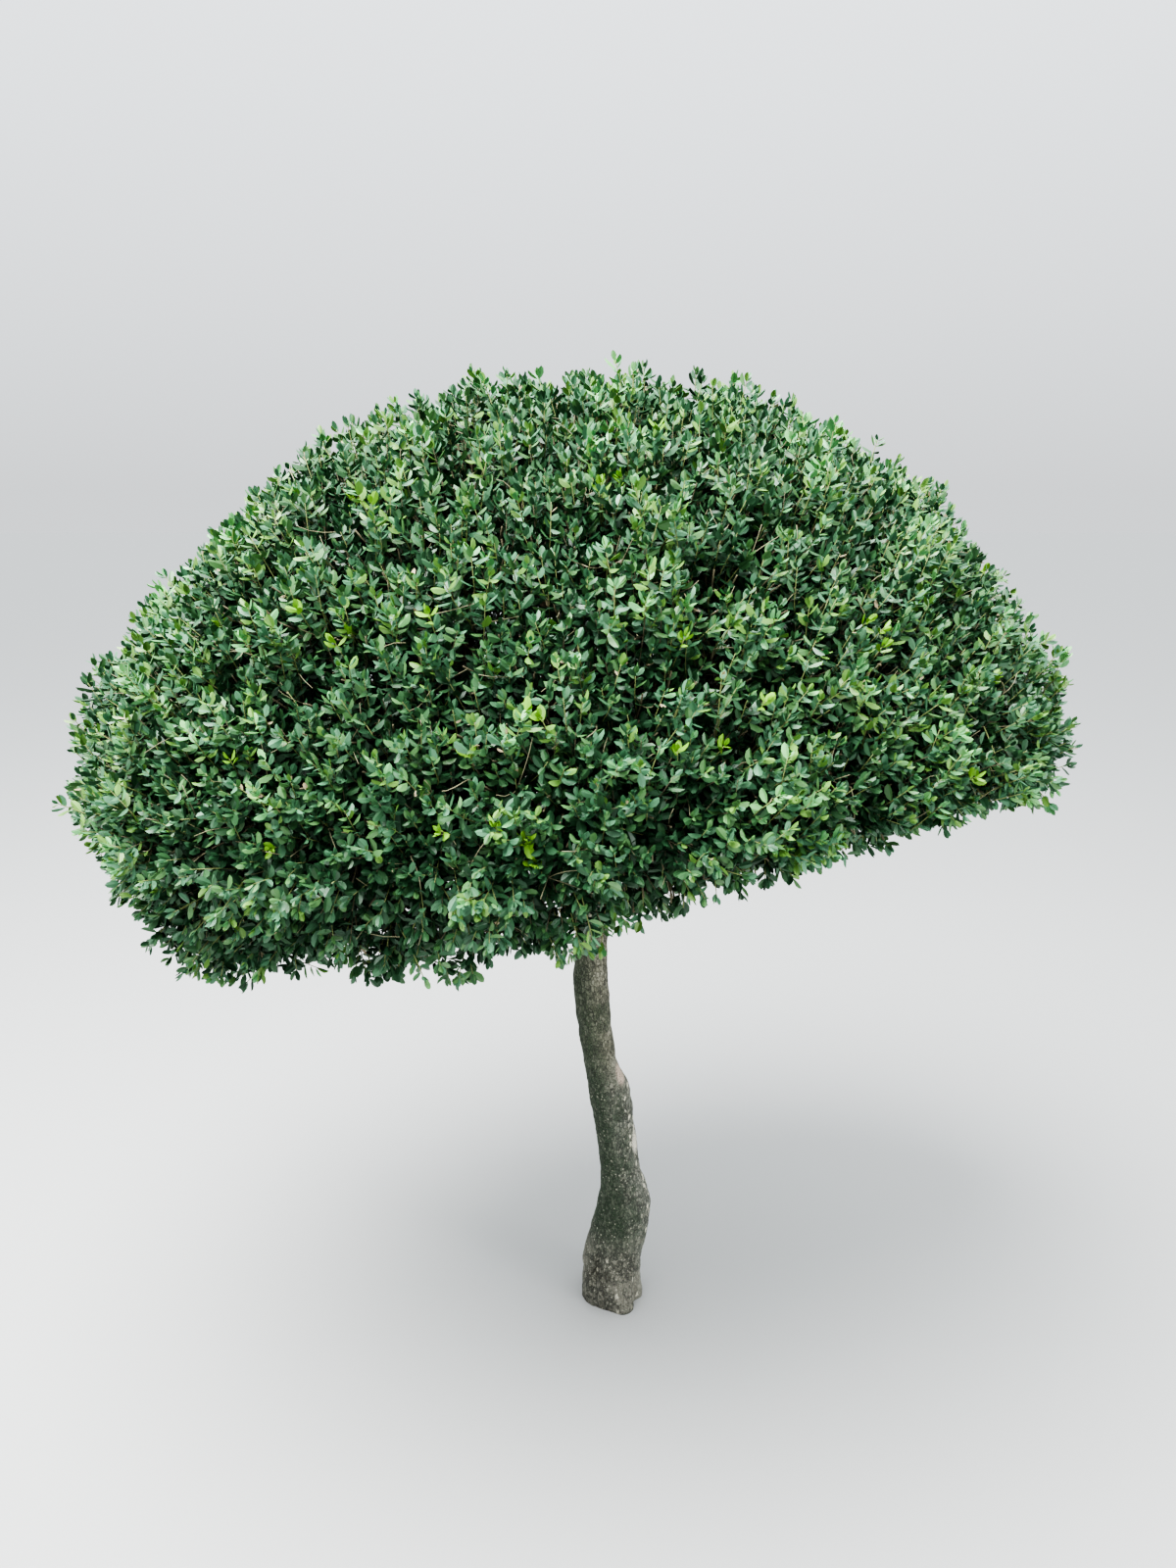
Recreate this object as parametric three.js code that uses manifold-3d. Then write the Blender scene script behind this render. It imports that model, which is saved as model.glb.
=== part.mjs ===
// A clipped box standard: a bare, kinked trunk that carries one dense umbrella of small leaves.
// The umbrella is a shell. It is open underneath, and a leader, five boughs and seven side boughs
// run up inside it. Each of them carries one mass of foliage, and together the masses are the crown.
// Millimetres, +Z up. The origin is the middle of the flat cut under the trunk, at ground level.
import * as THREE from "three";
import { mergeVertices } from "three/addons/utils/BufferGeometryUtils.js";
import Module from "manifold-3d";

const wasm = await Module();
wasm.setup();

// The crown, out to its leaf tips: an oval dome over a shallower underside that hangs lower at one end.
const CROWN = {
  centre: new THREE.Vector3(-46, -86, 1042),
  halfLength: 754,
  halfWidth: 562,
  turn: 0.185,
  rise: 575,
  drop: 225,
  dropLean: 0.94,
  tilt: 0.035,
  topPower: 1.81,
  underPower: 1.8,
  swell: 0.045,
  swellAngle: 0.42,
  swellMean: 0.6,
};
const CORE = { share: 0.86, segments: 18, rings: 11 };
const HOLLOW = { share: 0.65, mouth: 0.62, depth: 600, segments: 12, rings: 8 };
const TIP_SHARE = 0.53;

// The masses: one on top, a ring of five round it, and seven along the rim.
const UPPER_MASSES = 5;
const UPPER_TURN = 0;
const UPPER_LATITUDE = 0.78;
const RIM_MASSES = 7;
const RIM_TURN = 0.224;
const RIM_LATITUDE = 0.08;
const SITE_SHARE = 0.8;

// The trunk's axis and radius at each height, from the ground to the fork.
const TRUNK_RINGS = [
  { z: 0, x: 4, y: 0, r: 53 },
  { z: 30, x: 5, y: -2, r: 52 },
  { z: 76, x: 8, y: -4, r: 51 },
  { z: 139, x: 18, y: -8, r: 49.5 },
  { z: 190, x: 24, y: -11, r: 46.5 },
  { z: 231, x: 23, y: -14, r: 39.5 },
  { z: 265, x: 19, y: -16, r: 35.5 },
  { z: 322, x: 13, y: -19, r: 34.5 },
  { z: 380, x: 4, y: -23, r: 34.5 },
  { z: 416, x: -2, y: -25, r: 34 },
  { z: 451, x: -10, y: -27, r: 31 },
  { z: 496, x: -19, y: -30, r: 28 },
  { z: 542, x: -26, y: -32, r: 28.5 },
  { z: 579, x: -30, y: -34, r: 29.5 },
  { z: 633, x: -33, y: -38, r: 28.5 },
  { z: 689, x: -34, y: -41, r: 27 },
  { z: 790, x: -31, y: -44, r: 26.5 },
  { z: 880, x: -27, y: -47, r: 24 },
  { z: 940, x: -25, y: -50, r: 19 },
];
// Swellings on the trunk: a pruning scar, old knots and the tops of the root buttresses.
const TRUNK_SWELLINGS = [
  { z: 432, side: -0.2, size: 7, tall: 26, wide: 0.9 },
  { z: 200, side: 0.1, size: 5, tall: 40, wide: 0.8 },
  { z: 84, side: 3.35, size: 7, tall: 48, wide: 0.6 },
  { z: 22, side: 3.7, size: 6, tall: 30, wide: 0.5 },
  { z: 0, side: 5.05, size: 20, tall: 52, wide: 0.42 },
  { z: 0, side: 6.1, size: 7, tall: 40, wide: 0.45 },
  { z: 0, side: 1.0, size: 11, tall: 50, wide: 0.5 },
  { z: 0, side: 2.2, size: 12, tall: 55, wide: 0.5 },
  { z: 645, side: 3.0, size: 2.5, tall: 26, wide: 0.8 },
  { z: 815, side: 4.0, size: 4, tall: 40, wide: 0.7 },
];
const TRUNK_SIDES = 18;
const TRUNK_STEPS = 26;
const TRUNK_STEP_GROWTH = 1.12;

// Limbs: how thick they are at the foot and tip, and how high on the trunk each bough leaves.
const BOUGH = { foot: 15.5, tip: 9, sides: 8, steps: 7 };
const SIDE_BOUGH = { foot: 10, tip: 7, sides: 7, steps: 5 };
const LEADER = { foot: 17, tip: 9, sides: 8, steps: 6 };
const LEADER_START = { sunk: 6, up: 60, along: 20 };
const LEADER_BEND = new THREE.Vector3(28, -22, 130);
const BOUGH_HEIGHTS = [800, 872, 826, 905, 770];
const BOUGH_LIFT = -26;
const SIDE_BOUGH_LIFT = 14;
const SIDE_BOUGH_STARTS = [0.4, 0.56];
const LIMB_WANDER = 26;
const LIMB_TAPER = 1.3;
const STEM = { straight: 30, foot: 0.97, tip: 0.7, sides: 6, steps: 4 };
const GAP = 0.35;

// Shoots and leaves. Each leaf stands for a cluster, so it is larger than the real 20 mm one.
const SHOOTS = 126;
const SHOOT = {
  sunk: 26,
  foot: 6,
  tip: 4,
  rough: 8,
  wander: 0.25,
  upward: 0.25,
  upwardBelow: 0.1,
  tries: 8,
};
const LEAF = { length: 98, width: 58, thick: 3.6, droop: 5, sunk: 2.5 };
const LEAF_RISE = 0.5;
const LEAF_SIZES = { least: 0.86, spread: 0.26, lean: 0.2 };
const PAIRS = [
  { back: 2, lean: 0.85 },
  { back: 22, lean: 0.42 },
];
const MOST_SHARE = 1.03;
const LEAF_SPACING = 30;
const LOWEST_SHOOT = -0.62;
const MASS_GAP = 1.2;
const LEAF_CLEARANCE = 3;
const TRUNK_CLEARANCE = 8;
const SEED = 20731;

const UP = new THREE.Vector3(0, 0, 1);

// A seeded stream of numbers from 0 to 1 (the mulberry32 generator).
function randomStream(seed) {
  let state = seed >>> 0;
  return () => {
    state = (state + 0x6d2b79f5) >>> 0;
    let mixed = Math.imul(state ^ (state >>> 15), 1 | state);
    mixed = (mixed + Math.imul(mixed ^ (mixed >>> 7), 61 | mixed)) ^ mixed;
    return ((mixed ^ (mixed >>> 14)) >>> 0) / 4294967296;
  };
}

function heading(azimuth, latitude) {
  const level = Math.cos(latitude);
  return new THREE.Vector3(
    level * Math.cos(azimuth),
    level * Math.sin(azimuth),
    Math.sin(latitude),
  );
}

// Where each mass sits, as an azimuth and a latitude on the crown, with its name.
function massSites() {
  const sites = [{ name: "top", azimuth: 0, latitude: Math.PI / 2 }];
  for (let i = 0; i < UPPER_MASSES; i++) {
    const azimuth = UPPER_TURN + (i * 2 * Math.PI) / UPPER_MASSES;
    sites.push({ name: `upper_${i + 1}`, azimuth, latitude: UPPER_LATITUDE });
  }
  for (let i = 0; i < RIM_MASSES; i++) {
    const azimuth = RIM_TURN + (i * 2 * Math.PI) / RIM_MASSES;
    sites.push({ name: `rim_${i + 1}`, azimuth, latitude: RIM_LATITUDE });
  }
  return sites;
}

const SITES = massSites();

// The crown swells a little round each mass, as a clipped head does between two cuts.
function swelling(azimuth, latitude) {
  const here = heading(azimuth, latitude);
  const nearest = Math.min(
    ...SITES.map((s) => here.angleTo(heading(s.azimuth, s.latitude))),
  );
  const fade = Math.exp(-((nearest / CROWN.swellAngle) ** 2));
  return 1 + CROWN.swell * (fade - CROWN.swellMean);
}

// How deep the crown hangs below its widest line, more towards the end that is behind the origin.
function underDepth(along) {
  return CROWN.drop * Math.exp(-CROWN.dropLean * along);
}

// A point of the crown at a share of the way from its centre to its leaf tips.
function crownPoint(azimuth, latitude, share) {
  const sin = Math.sin(latitude);
  const power = 2 / (sin >= 0 ? CROWN.topPower : CROWN.underPower);
  const full = share * swelling(azimuth, latitude);
  const reach = full * Math.pow(Math.abs(Math.cos(latitude)), power);
  const lift = full * Math.pow(Math.abs(sin), power);
  const along = reach * Math.cos(azimuth);
  const height = sin >= 0 ? CROWN.rise * lift : -underDepth(along) * lift;
  return new THREE.Vector3(
    CROWN.halfLength * along,
    CROWN.halfWidth * reach * Math.sin(azimuth),
    height + CROWN.tilt * CROWN.halfLength * along,
  )
    .applyAxisAngle(UP, CROWN.turn)
    .add(CROWN.centre);
}

// The share of the way from the crown's centre to its leaf tips that a point lies at.
function crownShare(point) {
  const local = point
    .clone()
    .sub(CROWN.centre)
    .applyAxisAngle(UP, -CROWN.turn);
  const along = local.x / CROWN.halfLength;
  const side = local.y / CROWN.halfWidth;
  const height = local.z - CROWN.tilt * local.x;
  const over = height >= 0;
  const power = over ? CROWN.topPower : CROWN.underPower;
  const reach = Math.pow(Math.hypot(along, side), power);
  const depth = over ? CROWN.rise : underDepth(along);
  const lift = Math.pow(Math.abs(height) / depth, power);
  const latitude = Math.atan2(Math.sqrt(lift), Math.sqrt(reach));
  const swell = swelling(Math.atan2(side, along), over ? latitude : -latitude);
  return Math.pow(reach + lift, 1 / power) / swell;
}

// The crown's outward direction at a point, from two short steps over its surface.
function crownNormal(azimuth, latitude) {
  const step = 0.02;
  const lat = Math.min(latitude, Math.PI / 2 - 0.03);
  const here = crownPoint(azimuth, lat, 1);
  const east = crownPoint(azimuth + step, lat, 1).sub(here);
  const north = crownPoint(azimuth, lat + step, 1).sub(here);
  return east.cross(north).normalize();
}

// A closed three.js geometry as a solid, and a solid as a geometry.
function solidOf(geometry) {
  const bare = geometry.clone();
  bare.deleteAttribute("normal");
  bare.deleteAttribute("uv");
  const merged = mergeVertices(bare, 1e-4);
  return new wasm.Manifold(
    new wasm.Mesh({
      numProp: 3,
      vertProperties: merged.attributes.position.array,
      triVerts: new Uint32Array(merged.index.array),
    }),
  );
}

function geometryOf(solid) {
  const mesh = solid.getMesh();
  const places = new Float32Array(mesh.numVert * 3);
  for (let i = 0; i < mesh.numVert; i++) {
    const from = i * mesh.numProp;
    places.set(mesh.vertProperties.subarray(from, from + 3), i * 3);
  }
  const geometry = new THREE.BufferGeometry();
  geometry.setAttribute("position", new THREE.BufferAttribute(places, 3));
  geometry.setIndex(new THREE.BufferAttribute(mesh.triVerts, 1));
  return geometry;
}

function movePoints(geometry, move) {
  const places = geometry.attributes.position;
  const point = new THREE.Vector3();
  for (let i = 0; i < places.count; i++) {
    point.fromBufferAttribute(places, i);
    const moved = move(point);
    places.setXYZ(i, moved.x, moved.y, moved.z);
  }
  return geometry;
}

// The largest body of a solid, as loose scraps are dropped and sealed hollows filled.
function largestBody(solid) {
  const bodies = solid.decompose();
  return bodies.reduce((a, b) => (b.volume() > a.volume() ? b : a));
}

// A limb along a curve, tapering from foot to tip: a cylinder whose rings are set across the curve.
function limbSolid(curve, shape, extra = 0) {
  const frames = curve.computeFrenetFrames(shape.steps, false);
  const tube = new THREE.CylinderGeometry(1, 1, 1, shape.sides, shape.steps);
  return solidOf(
    movePoints(tube, (p) => {
      const along = p.y + 0.5;
      const ring = Math.round(along * shape.steps);
      const radius = limbRadius(shape, along) + extra;
      return curve
        .getPointAt(along)
        .addScaledVector(frames.normals[ring], p.z * radius)
        .addScaledVector(frames.binormals[ring], p.x * radius);
    }),
  );
}

function limbRadius(shape, along) {
  return shape.tip + (shape.foot - shape.tip) * Math.pow(1 - along, LIMB_TAPER);
}

// The trunk's axis and radius at a height, eased between the stations above.
function trunkAt(z) {
  const last = TRUNK_RINGS.length - 2;
  const found = TRUNK_RINGS.findIndex((s, i) => i > 0 && z <= s.z) - 1;
  const i = Math.max(0, Math.min(last, found < 0 ? last : found));
  const [a, b] = [TRUNK_RINGS[i], TRUNK_RINGS[i + 1]];
  const share = THREE.MathUtils.clamp((z - a.z) / (b.z - a.z), 0, 1);
  const eased = share * share * (3 - 2 * share);
  const mix = (p, q) => p + (q - p) * (0.5 * share + 0.5 * eased);
  return {
    axis: new THREE.Vector3(mix(a.x, b.x), mix(a.y, b.y), z),
    radius: mix(a.r, b.r),
  };
}

function trunkSwelling(z, side) {
  return TRUNK_SWELLINGS.reduce((sum, s) => {
    const turn = Math.atan2(Math.sin(side - s.side), Math.cos(side - s.side));
    const fade = ((z - s.z) / s.tall) ** 2 + (turn / s.wide) ** 2;
    return sum + s.size * Math.exp(-fade);
  }, 0);
}

// The trunk keeps its rings level, so that its cut at the ground is flat.
function trunkSolid(extra = 0) {
  const height = TRUNK_RINGS.at(-1).z + extra;
  const tube = new THREE.CylinderGeometry(1, 1, 1, TRUNK_SIDES, TRUNK_STEPS);
  return solidOf(
    movePoints(tube, (p) => {
      const z = height * Math.pow(p.y + 0.5, TRUNK_STEP_GROWTH);
      const { axis, radius } = trunkAt(z);
      axis.z = z;
      const side = Math.atan2(-p.z, p.x);
      const out = Math.hypot(p.x, p.z);
      const full = out * (radius + trunkSwelling(z, side) + extra);
      axis.x += full * Math.cos(side);
      axis.y += full * Math.sin(side);
      return axis;
    }),
  );
}

function wander(random, size) {
  const off = () => (random() - 0.5) * 2 * size;
  return new THREE.Vector3(off(), off(), off());
}

// A limb's route: out of its parent, through two points that stray from the straight line, to its tip.
function limbRoute(start, tip, lift, random) {
  const span = tip.clone().sub(start);
  const at = (share, raise) =>
    start
      .clone()
      .addScaledVector(span, share)
      .addScaledVector(UP, raise)
      .add(wander(random, LIMB_WANDER));
  return new THREE.CatmullRomCurve3([
    start,
    at(0.33, lift),
    at(0.68, lift * 0.8),
    tip,
  ]);
}

// Every limb: its name, route, taper and the mass that it carries.
function planLimbs() {
  const random = randomStream(SEED);
  const [top, ...others] = SITES;
  const tipOf = (s) => crownPoint(s.azimuth, s.latitude, TIP_SHARE);
  const trunkTop = trunkAt(TRUNK_RINGS.at(-1).z).axis;
  const direction = tipOf(top).sub(trunkTop).normalize();
  const leaderFoot = trunkTop.clone().addScaledVector(UP, -LEADER_START.sunk);
  const straight = leaderFoot.clone().addScaledVector(UP, LEADER_START.up);
  const leader = {
    name: "leader",
    site: top,
    shape: LEADER,
    route: new THREE.CatmullRomCurve3([
      leaderFoot,
      straight.addScaledVector(direction, LEADER_START.along),
      tipOf(top).sub(LEADER_BEND),
      tipOf(top),
    ]),
  };
  const upper = others.filter((s) => s.name.startsWith("upper"));
  const boughs = upper.map((site, i) => ({
    name: `bough_${i + 1}`,
    site,
    shape: BOUGH,
    azimuth: site.azimuth,
    carries: 0,
    route: limbRoute(
      trunkAt(BOUGH_HEIGHTS[i]).axis,
      tipOf(site),
      BOUGH_LIFT,
      random,
    ),
  }));
  const rim = others.filter((s) => s.name.startsWith("rim"));
  const sides = rim.map((site, i) => {
    const gapTo = (b) =>
      heading(b.azimuth, 0).angleTo(heading(site.azimuth, 0));
    const parent = boughs.reduce((a, b) => (gapTo(b) < gapTo(a) ? b : a));
    const from = SIDE_BOUGH_STARTS[parent.carries % SIDE_BOUGH_STARTS.length];
    parent.carries += 1;
    return {
      name: `side_bough_${i + 1}`,
      site,
      shape: SIDE_BOUGH,
      route: limbRoute(
        parent.route.getPointAt(from),
        tipOf(site),
        SIDE_BOUGH_LIFT,
        random,
      ),
    };
  });
  return [leader, ...boughs, ...sides];
}

// The limbs as solids. Each is cut where it leaves the trunk or an earlier limb, a hair clear of it.
function buildLimbs(plans) {
  const cutters = [trunkSolid(GAP)];
  return plans.map((plan) => {
    let solid = limbSolid(plan.route, plan.shape);
    for (const cutter of cutters) solid = solid.subtract(cutter);
    cutters.push(limbSolid(plan.route, plan.shape, GAP));
    return { ...plan, solid: largestBody(solid) };
  });
}

// A closed surface over the sphere's directions, each direction put where the function says.
function roundSolid(segments, rings, place) {
  const ball = new THREE.SphereGeometry(1, segments, rings);
  return solidOf(
    movePoints(ball.rotateX(Math.PI / 2), (p) => {
      const latitude = Math.asin(THREE.MathUtils.clamp(p.z, -1, 1));
      return place(Math.atan2(p.y, p.x), latitude);
    }),
  );
}

// The space under and inside the crown: a smaller dome with a skirt that runs straight down.
function hollowPoint(azimuth, latitude) {
  if (latitude > -0.01) return crownPoint(azimuth, latitude, HOLLOW.share);
  const down = -Math.sin(latitude);
  const mouth = HOLLOW.share + (HOLLOW.mouth - HOLLOW.share) * down;
  const closing = latitude < -1.5 ? 0 : mouth;
  const at = crownPoint(azimuth, 0, closing);
  at.z -= down * HOLLOW.depth;
  return at;
}

// The foliage without its shoots: the crown's shell, open underneath.
function shellSolid() {
  const dome = roundSolid(CORE.segments, CORE.rings, (azimuth, latitude) =>
    crownPoint(azimuth, latitude, CORE.share),
  );
  return dome.subtract(
    roundSolid(HOLLOW.segments, HOLLOW.rings, hollowPoint),
  );
}

// The planes half way between a mass's site and the others', each as a point and a direction outwards.
function cellPlanes(site) {
  const placeOf = (s) => crownPoint(s.azimuth, s.latitude, SITE_SHARE);
  const here = placeOf(site);
  return SITES.filter((s) => s !== site).map((s) => {
    const there = placeOf(s);
    const out = there.clone().sub(here).normalize();
    const point = here.clone().lerp(there, 0.5);
    return { out, point: point.addScaledVector(out, -MASS_GAP / 2) };
  });
}

function insideCell(point, planes, margin) {
  return planes.every((c) => point.clone().sub(c.point).dot(c.out) < -margin);
}

// A box that covers everything on the far side of a plane.
function farSide({ out, point }) {
  const size = 3000;
  const turn = new THREE.Quaternion().setFromUnitVectors(UP, out);
  const box = new THREE.BoxGeometry(size, size, size)
    .translate(0, 0, size / 2)
    .applyQuaternion(turn)
    .translate(point.x, point.y, point.z);
  return solidOf(box);
}

// One leaf of eight faces, from its root along a direction: widest past the middle, sides drooping.
function leafGeometry(root, along, face, size) {
  const across = face.clone().cross(along).normalize();
  const above = along.clone().cross(across).normalize();
  const length = LEAF.length * size;
  return movePoints(new THREE.OctahedronGeometry(1, 0), (p) => {
    const middle = 0.5 + 0.08 * (1 - Math.abs(p.x));
    const reach = (middle + p.x / 2) * length;
    const sag = -LEAF.droop * size * (Math.abs(p.y) + 0.8 * Math.max(p.x, 0));
    return root
      .clone()
      .addScaledVector(along, reach)
      .addScaledVector(across, (p.y * LEAF.width * size) / 2)
      .addScaledVector(above, (p.z * LEAF.thick) / 2 + sag);
  });
}

// One shoot: a three-sided twig from inside the core, out along a direction.
function twigGeometry(from, to, foot, tip) {
  const axis = to.clone().sub(from);
  const turn = new THREE.Quaternion().setFromUnitVectors(
    new THREE.Vector3(0, 1, 0),
    axis.clone().normalize(),
  );
  const middle = from.clone().lerp(to, 0.5);
  return new THREE.CylinderGeometry(tip, foot, axis.length(), 3, 1)
    .applyQuaternion(turn)
    .translate(middle.x, middle.y, middle.z);
}

// Spreads the shoots evenly over the crown on a spiral, each a golden angle further round.
function planShoots() {
  const golden = Math.PI * (3 - Math.sqrt(5));
  const shoots = [];
  for (let i = 0; i < SHOOTS; i++) {
    const low = Math.sin(LOWEST_SHOOT);
    const height = low + ((1 - low) * (i + 0.5)) / SHOOTS;
    shoots.push({ azimuth: i * golden, latitude: Math.asin(height) });
  }
  return shoots;
}

function pointsOf(geometry) {
  const places = geometry.attributes.position;
  return Array.from({ length: places.count }, (_, i) =>
    new THREE.Vector3().fromBufferAttribute(places, i),
  );
}

// Points along the trunk and limbs with their radii, for keeping leaves off them.
function limbStations(plans) {
  const stations = [];
  for (let z = 0; z <= TRUNK_RINGS.at(-1).z; z += 20) {
    const { axis, radius } = trunkAt(z);
    stations.push({ at: axis, radius: radius + TRUNK_CLEARANCE });
  }
  for (const plan of plans)
    for (let i = 0; i <= 20; i++)
      stations.push({
        at: plan.route.getPointAt(i / 20),
        radius: limbRadius(plan.shape, i / 20),
      });
  return stations;
}

function clearOfLimbs(points, stations) {
  return points.every((p) =>
    stations.every((s) => p.distanceTo(s.at) > s.radius + LEAF_CLEARANCE),
  );
}

// One way for a shoot to grow: its twig from inside the core, and its leaves in crossed pairs.
function growShoot({ azimuth, latitude }, random) {
  const along = crownNormal(azimuth, latitude)
    .addScaledVector(UP, latitude < 0 ? SHOOT.upwardBelow : SHOOT.upward)
    .add(wander(random, SHOOT.wander))
    .normalize();
  const reach = LEAF.length * LEAF_RISE + SHOOT.rough * (2 * random() - 1);
  const to = crownPoint(azimuth, latitude, 1).addScaledVector(along, -reach);
  const skin = crownPoint(azimuth, latitude, CORE.share);
  const deep = to.distanceTo(skin) + SHOOT.sunk;
  const from = to.clone().addScaledVector(along, -deep);
  const side = wander(random, 1).cross(along).normalize();
  const leaves = [];
  for (const pair of PAIRS) {
    for (const hand of [1, -1]) {
      const size = LEAF_SIZES.least + LEAF_SIZES.spread * random();
      const away = side
        .clone()
        .multiplyScalar(hand)
        .addScaledVector(along, pair.lean + LEAF_SIZES.lean * (random() - 0.5))
        .normalize();
      const root = to
        .clone()
        .addScaledVector(along, -pair.back)
        .addScaledVector(away, -LEAF.sunk);
      leaves.push(leafGeometry(root, away, along, size));
    }
    side.applyAxisAngle(along, Math.PI / 2);
  }
  return { twig: twigGeometry(from, to, SHOOT.foot, SHOOT.tip), leaves };
}

function middleOf(points) {
  const sum = points.reduce((a, p) => a.add(p), new THREE.Vector3());
  return sum.divideScalar(points.length);
}

// A shoot grown several ways, of which the one that loses the fewest leaves stays.
function bestShoot(shoot, random, space) {
  let best = { leaves: [] };
  for (let i = 0; i < SHOOT.tries; i++) {
    const grown = growShoot(shoot, random);
    if (!space.holds(pointsOf(grown.twig))) continue;
    const leaves = grown.leaves.filter((leaf) => {
      const points = pointsOf(leaf);
      return space.holds(points) && space.apart(middleOf(points));
    });
    if (leaves.length > best.leaves.length) best = { twig: grown.twig, leaves };
  }
  return best;
}

// The stem that carries on from a limb's tip into its mass, a hair clear of the limb.
function stemSolid(plan) {
  const tip = plan.route.getPointAt(1);
  const along = plan.route.getTangentAt(1);
  const end = crownPoint(plan.site.azimuth, plan.site.latitude, SITE_SHARE);
  const start = tip.clone().addScaledVector(along, GAP);
  const route = new THREE.CatmullRomCurve3([
    start,
    start.clone().addScaledVector(along, STEM.straight),
    end,
  ]);
  const foot = limbRadius(plan.shape, 1) * STEM.foot;
  return limbSolid(route, { ...STEM, foot, tip: foot * STEM.tip });
}

// The room that a mass's twigs and leaves keep to: its cell, inside the crown, off the limbs.
function massSpace(planes, stations) {
  const middles = [];
  return {
    middles,
    holds: (points) =>
      points.every((p) => insideCell(p, planes, 0)) &&
      points.every((p) => crownShare(p) < MOST_SHARE) &&
      clearOfLimbs(points, stations),
    apart: (middle) =>
      middles.every((m) => m.distanceTo(middle) > LEAF_SPACING),
  };
}

function buildMass(plan, shell, shoots, stations) {
  const random = randomStream(SEED + SITES.indexOf(plan.site) + 1);
  const planes = cellPlanes(plan.site);
  const space = massSpace(planes, stations);
  let core = shell;
  for (const plane of planes) core = core.subtract(farSide(plane));
  let mass = largestBody(core).add(stemSolid(plan));
  for (const shoot of shoots) {
    const skin = crownPoint(shoot.azimuth, shoot.latitude, CORE.share);
    if (!insideCell(skin, planes, 0)) continue;
    const { twig, leaves } = bestShoot(shoot, random, space);
    if (!leaves.length) continue;
    mass = mass.add(solidOf(twig));
    for (const leaf of leaves) {
      mass = mass.add(solidOf(leaf));
      space.middles.push(middleOf(pointsOf(leaf)));
    }
  }
  return largestBody(mass);
}

const BARK = { color: 0x6f6a5a, roughness: 0.9, metalness: 0 };
const LEAVES = { color: 0x2f5a2b, roughness: 0.45, metalness: 0 };

function named(name, solid, finish) {
  const material = new THREE.MeshStandardMaterial(finish);
  const mesh = new THREE.Mesh(geometryOf(solid), material);
  mesh.name = name;
  return mesh;
}

const plant = new THREE.Group();
const plans = planLimbs();
const limbs = buildLimbs(plans);
const stations = limbStations(plans);
const shell = shellSolid();
const shoots = planShoots();
plant.add(named("trunk", trunkSolid(), BARK));
for (const limb of limbs) plant.add(named(limb.name, limb.solid, BARK));
for (const plan of plans) {
  const mass = buildMass(plan, shell, shoots, stations);
  plant.add(named(`foliage_${plan.site.name}`, mass, LEAVES));
}

export default plant;
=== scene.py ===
import math

import bpy
import numpy as np
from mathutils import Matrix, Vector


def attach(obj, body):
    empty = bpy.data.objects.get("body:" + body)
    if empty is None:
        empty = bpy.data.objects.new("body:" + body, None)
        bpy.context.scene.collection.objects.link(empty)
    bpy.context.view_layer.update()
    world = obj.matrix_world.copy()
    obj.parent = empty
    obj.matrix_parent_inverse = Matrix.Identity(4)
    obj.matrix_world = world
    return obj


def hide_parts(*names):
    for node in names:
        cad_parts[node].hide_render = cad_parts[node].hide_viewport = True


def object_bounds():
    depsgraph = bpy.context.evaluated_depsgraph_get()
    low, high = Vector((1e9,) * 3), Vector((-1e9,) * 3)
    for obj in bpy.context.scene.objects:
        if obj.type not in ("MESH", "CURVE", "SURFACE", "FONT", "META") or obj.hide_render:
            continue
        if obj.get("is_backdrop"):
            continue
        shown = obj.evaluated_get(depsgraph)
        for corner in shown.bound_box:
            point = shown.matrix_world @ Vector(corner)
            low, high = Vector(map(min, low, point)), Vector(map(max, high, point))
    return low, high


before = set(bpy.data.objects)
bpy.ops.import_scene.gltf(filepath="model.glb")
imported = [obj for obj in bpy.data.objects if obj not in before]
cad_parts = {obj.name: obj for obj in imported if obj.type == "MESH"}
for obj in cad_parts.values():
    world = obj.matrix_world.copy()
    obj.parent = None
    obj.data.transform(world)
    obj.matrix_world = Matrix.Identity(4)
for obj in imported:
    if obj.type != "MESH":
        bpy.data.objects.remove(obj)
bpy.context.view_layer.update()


# The camera
# It stands 1.9 m in front of the trunk, 1.45 m up, and looks down by 14 degrees, through a lens
# whose focal length is 1200 of the photograph's pixels.
PHOTO_HEIGHT = 1600
FOCAL_PIXELS = 1200
EYE = (-0.0392, -1.9036, 1.45)
LOOK_DOWN = math.radians(14.04)

camera_data = bpy.data.cameras.new("camera")
camera_data.sensor_fit = "VERTICAL"
camera_data.sensor_height = 36
camera_data.lens = camera_data.sensor_height * FOCAL_PIXELS / PHOTO_HEIGHT
camera = bpy.data.objects.new("camera", camera_data)
camera.location = EYE
camera.rotation_euler = (math.pi / 2 - LOOK_DOWN, 0, 0)
bpy.context.collection.objects.link(camera)
bpy.context.scene.camera = camera
bpy.context.scene.view_settings.look = "AgX - High Contrast"


# The studio
# A plain pale floor, a pale dome that is brightest overhead, one large soft light above and a small
# one low on the right, which reaches the trunk under the head.
FLOOR_HALF = 40.0
FLOOR_COLOUR = (0.40, 0.40, 0.39, 1)
DOME_LOW = (0.314, 0.326, 0.336)
DOME_HIGH = (0.90, 0.95, 1.0)
DOME_STRENGTH = 2.4
SOFT_LIGHTS = [
    # name, place, turn in degrees, size, spread in degrees, watts
    ("softbox", (-1.2, -1.3, 4.6), (25, 0, -44), 3.6, 180, 570),
    ("side_light", (4.4, -3.1, 1.5), (80, 0, 55), 2.0, 80, 20),
]


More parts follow.
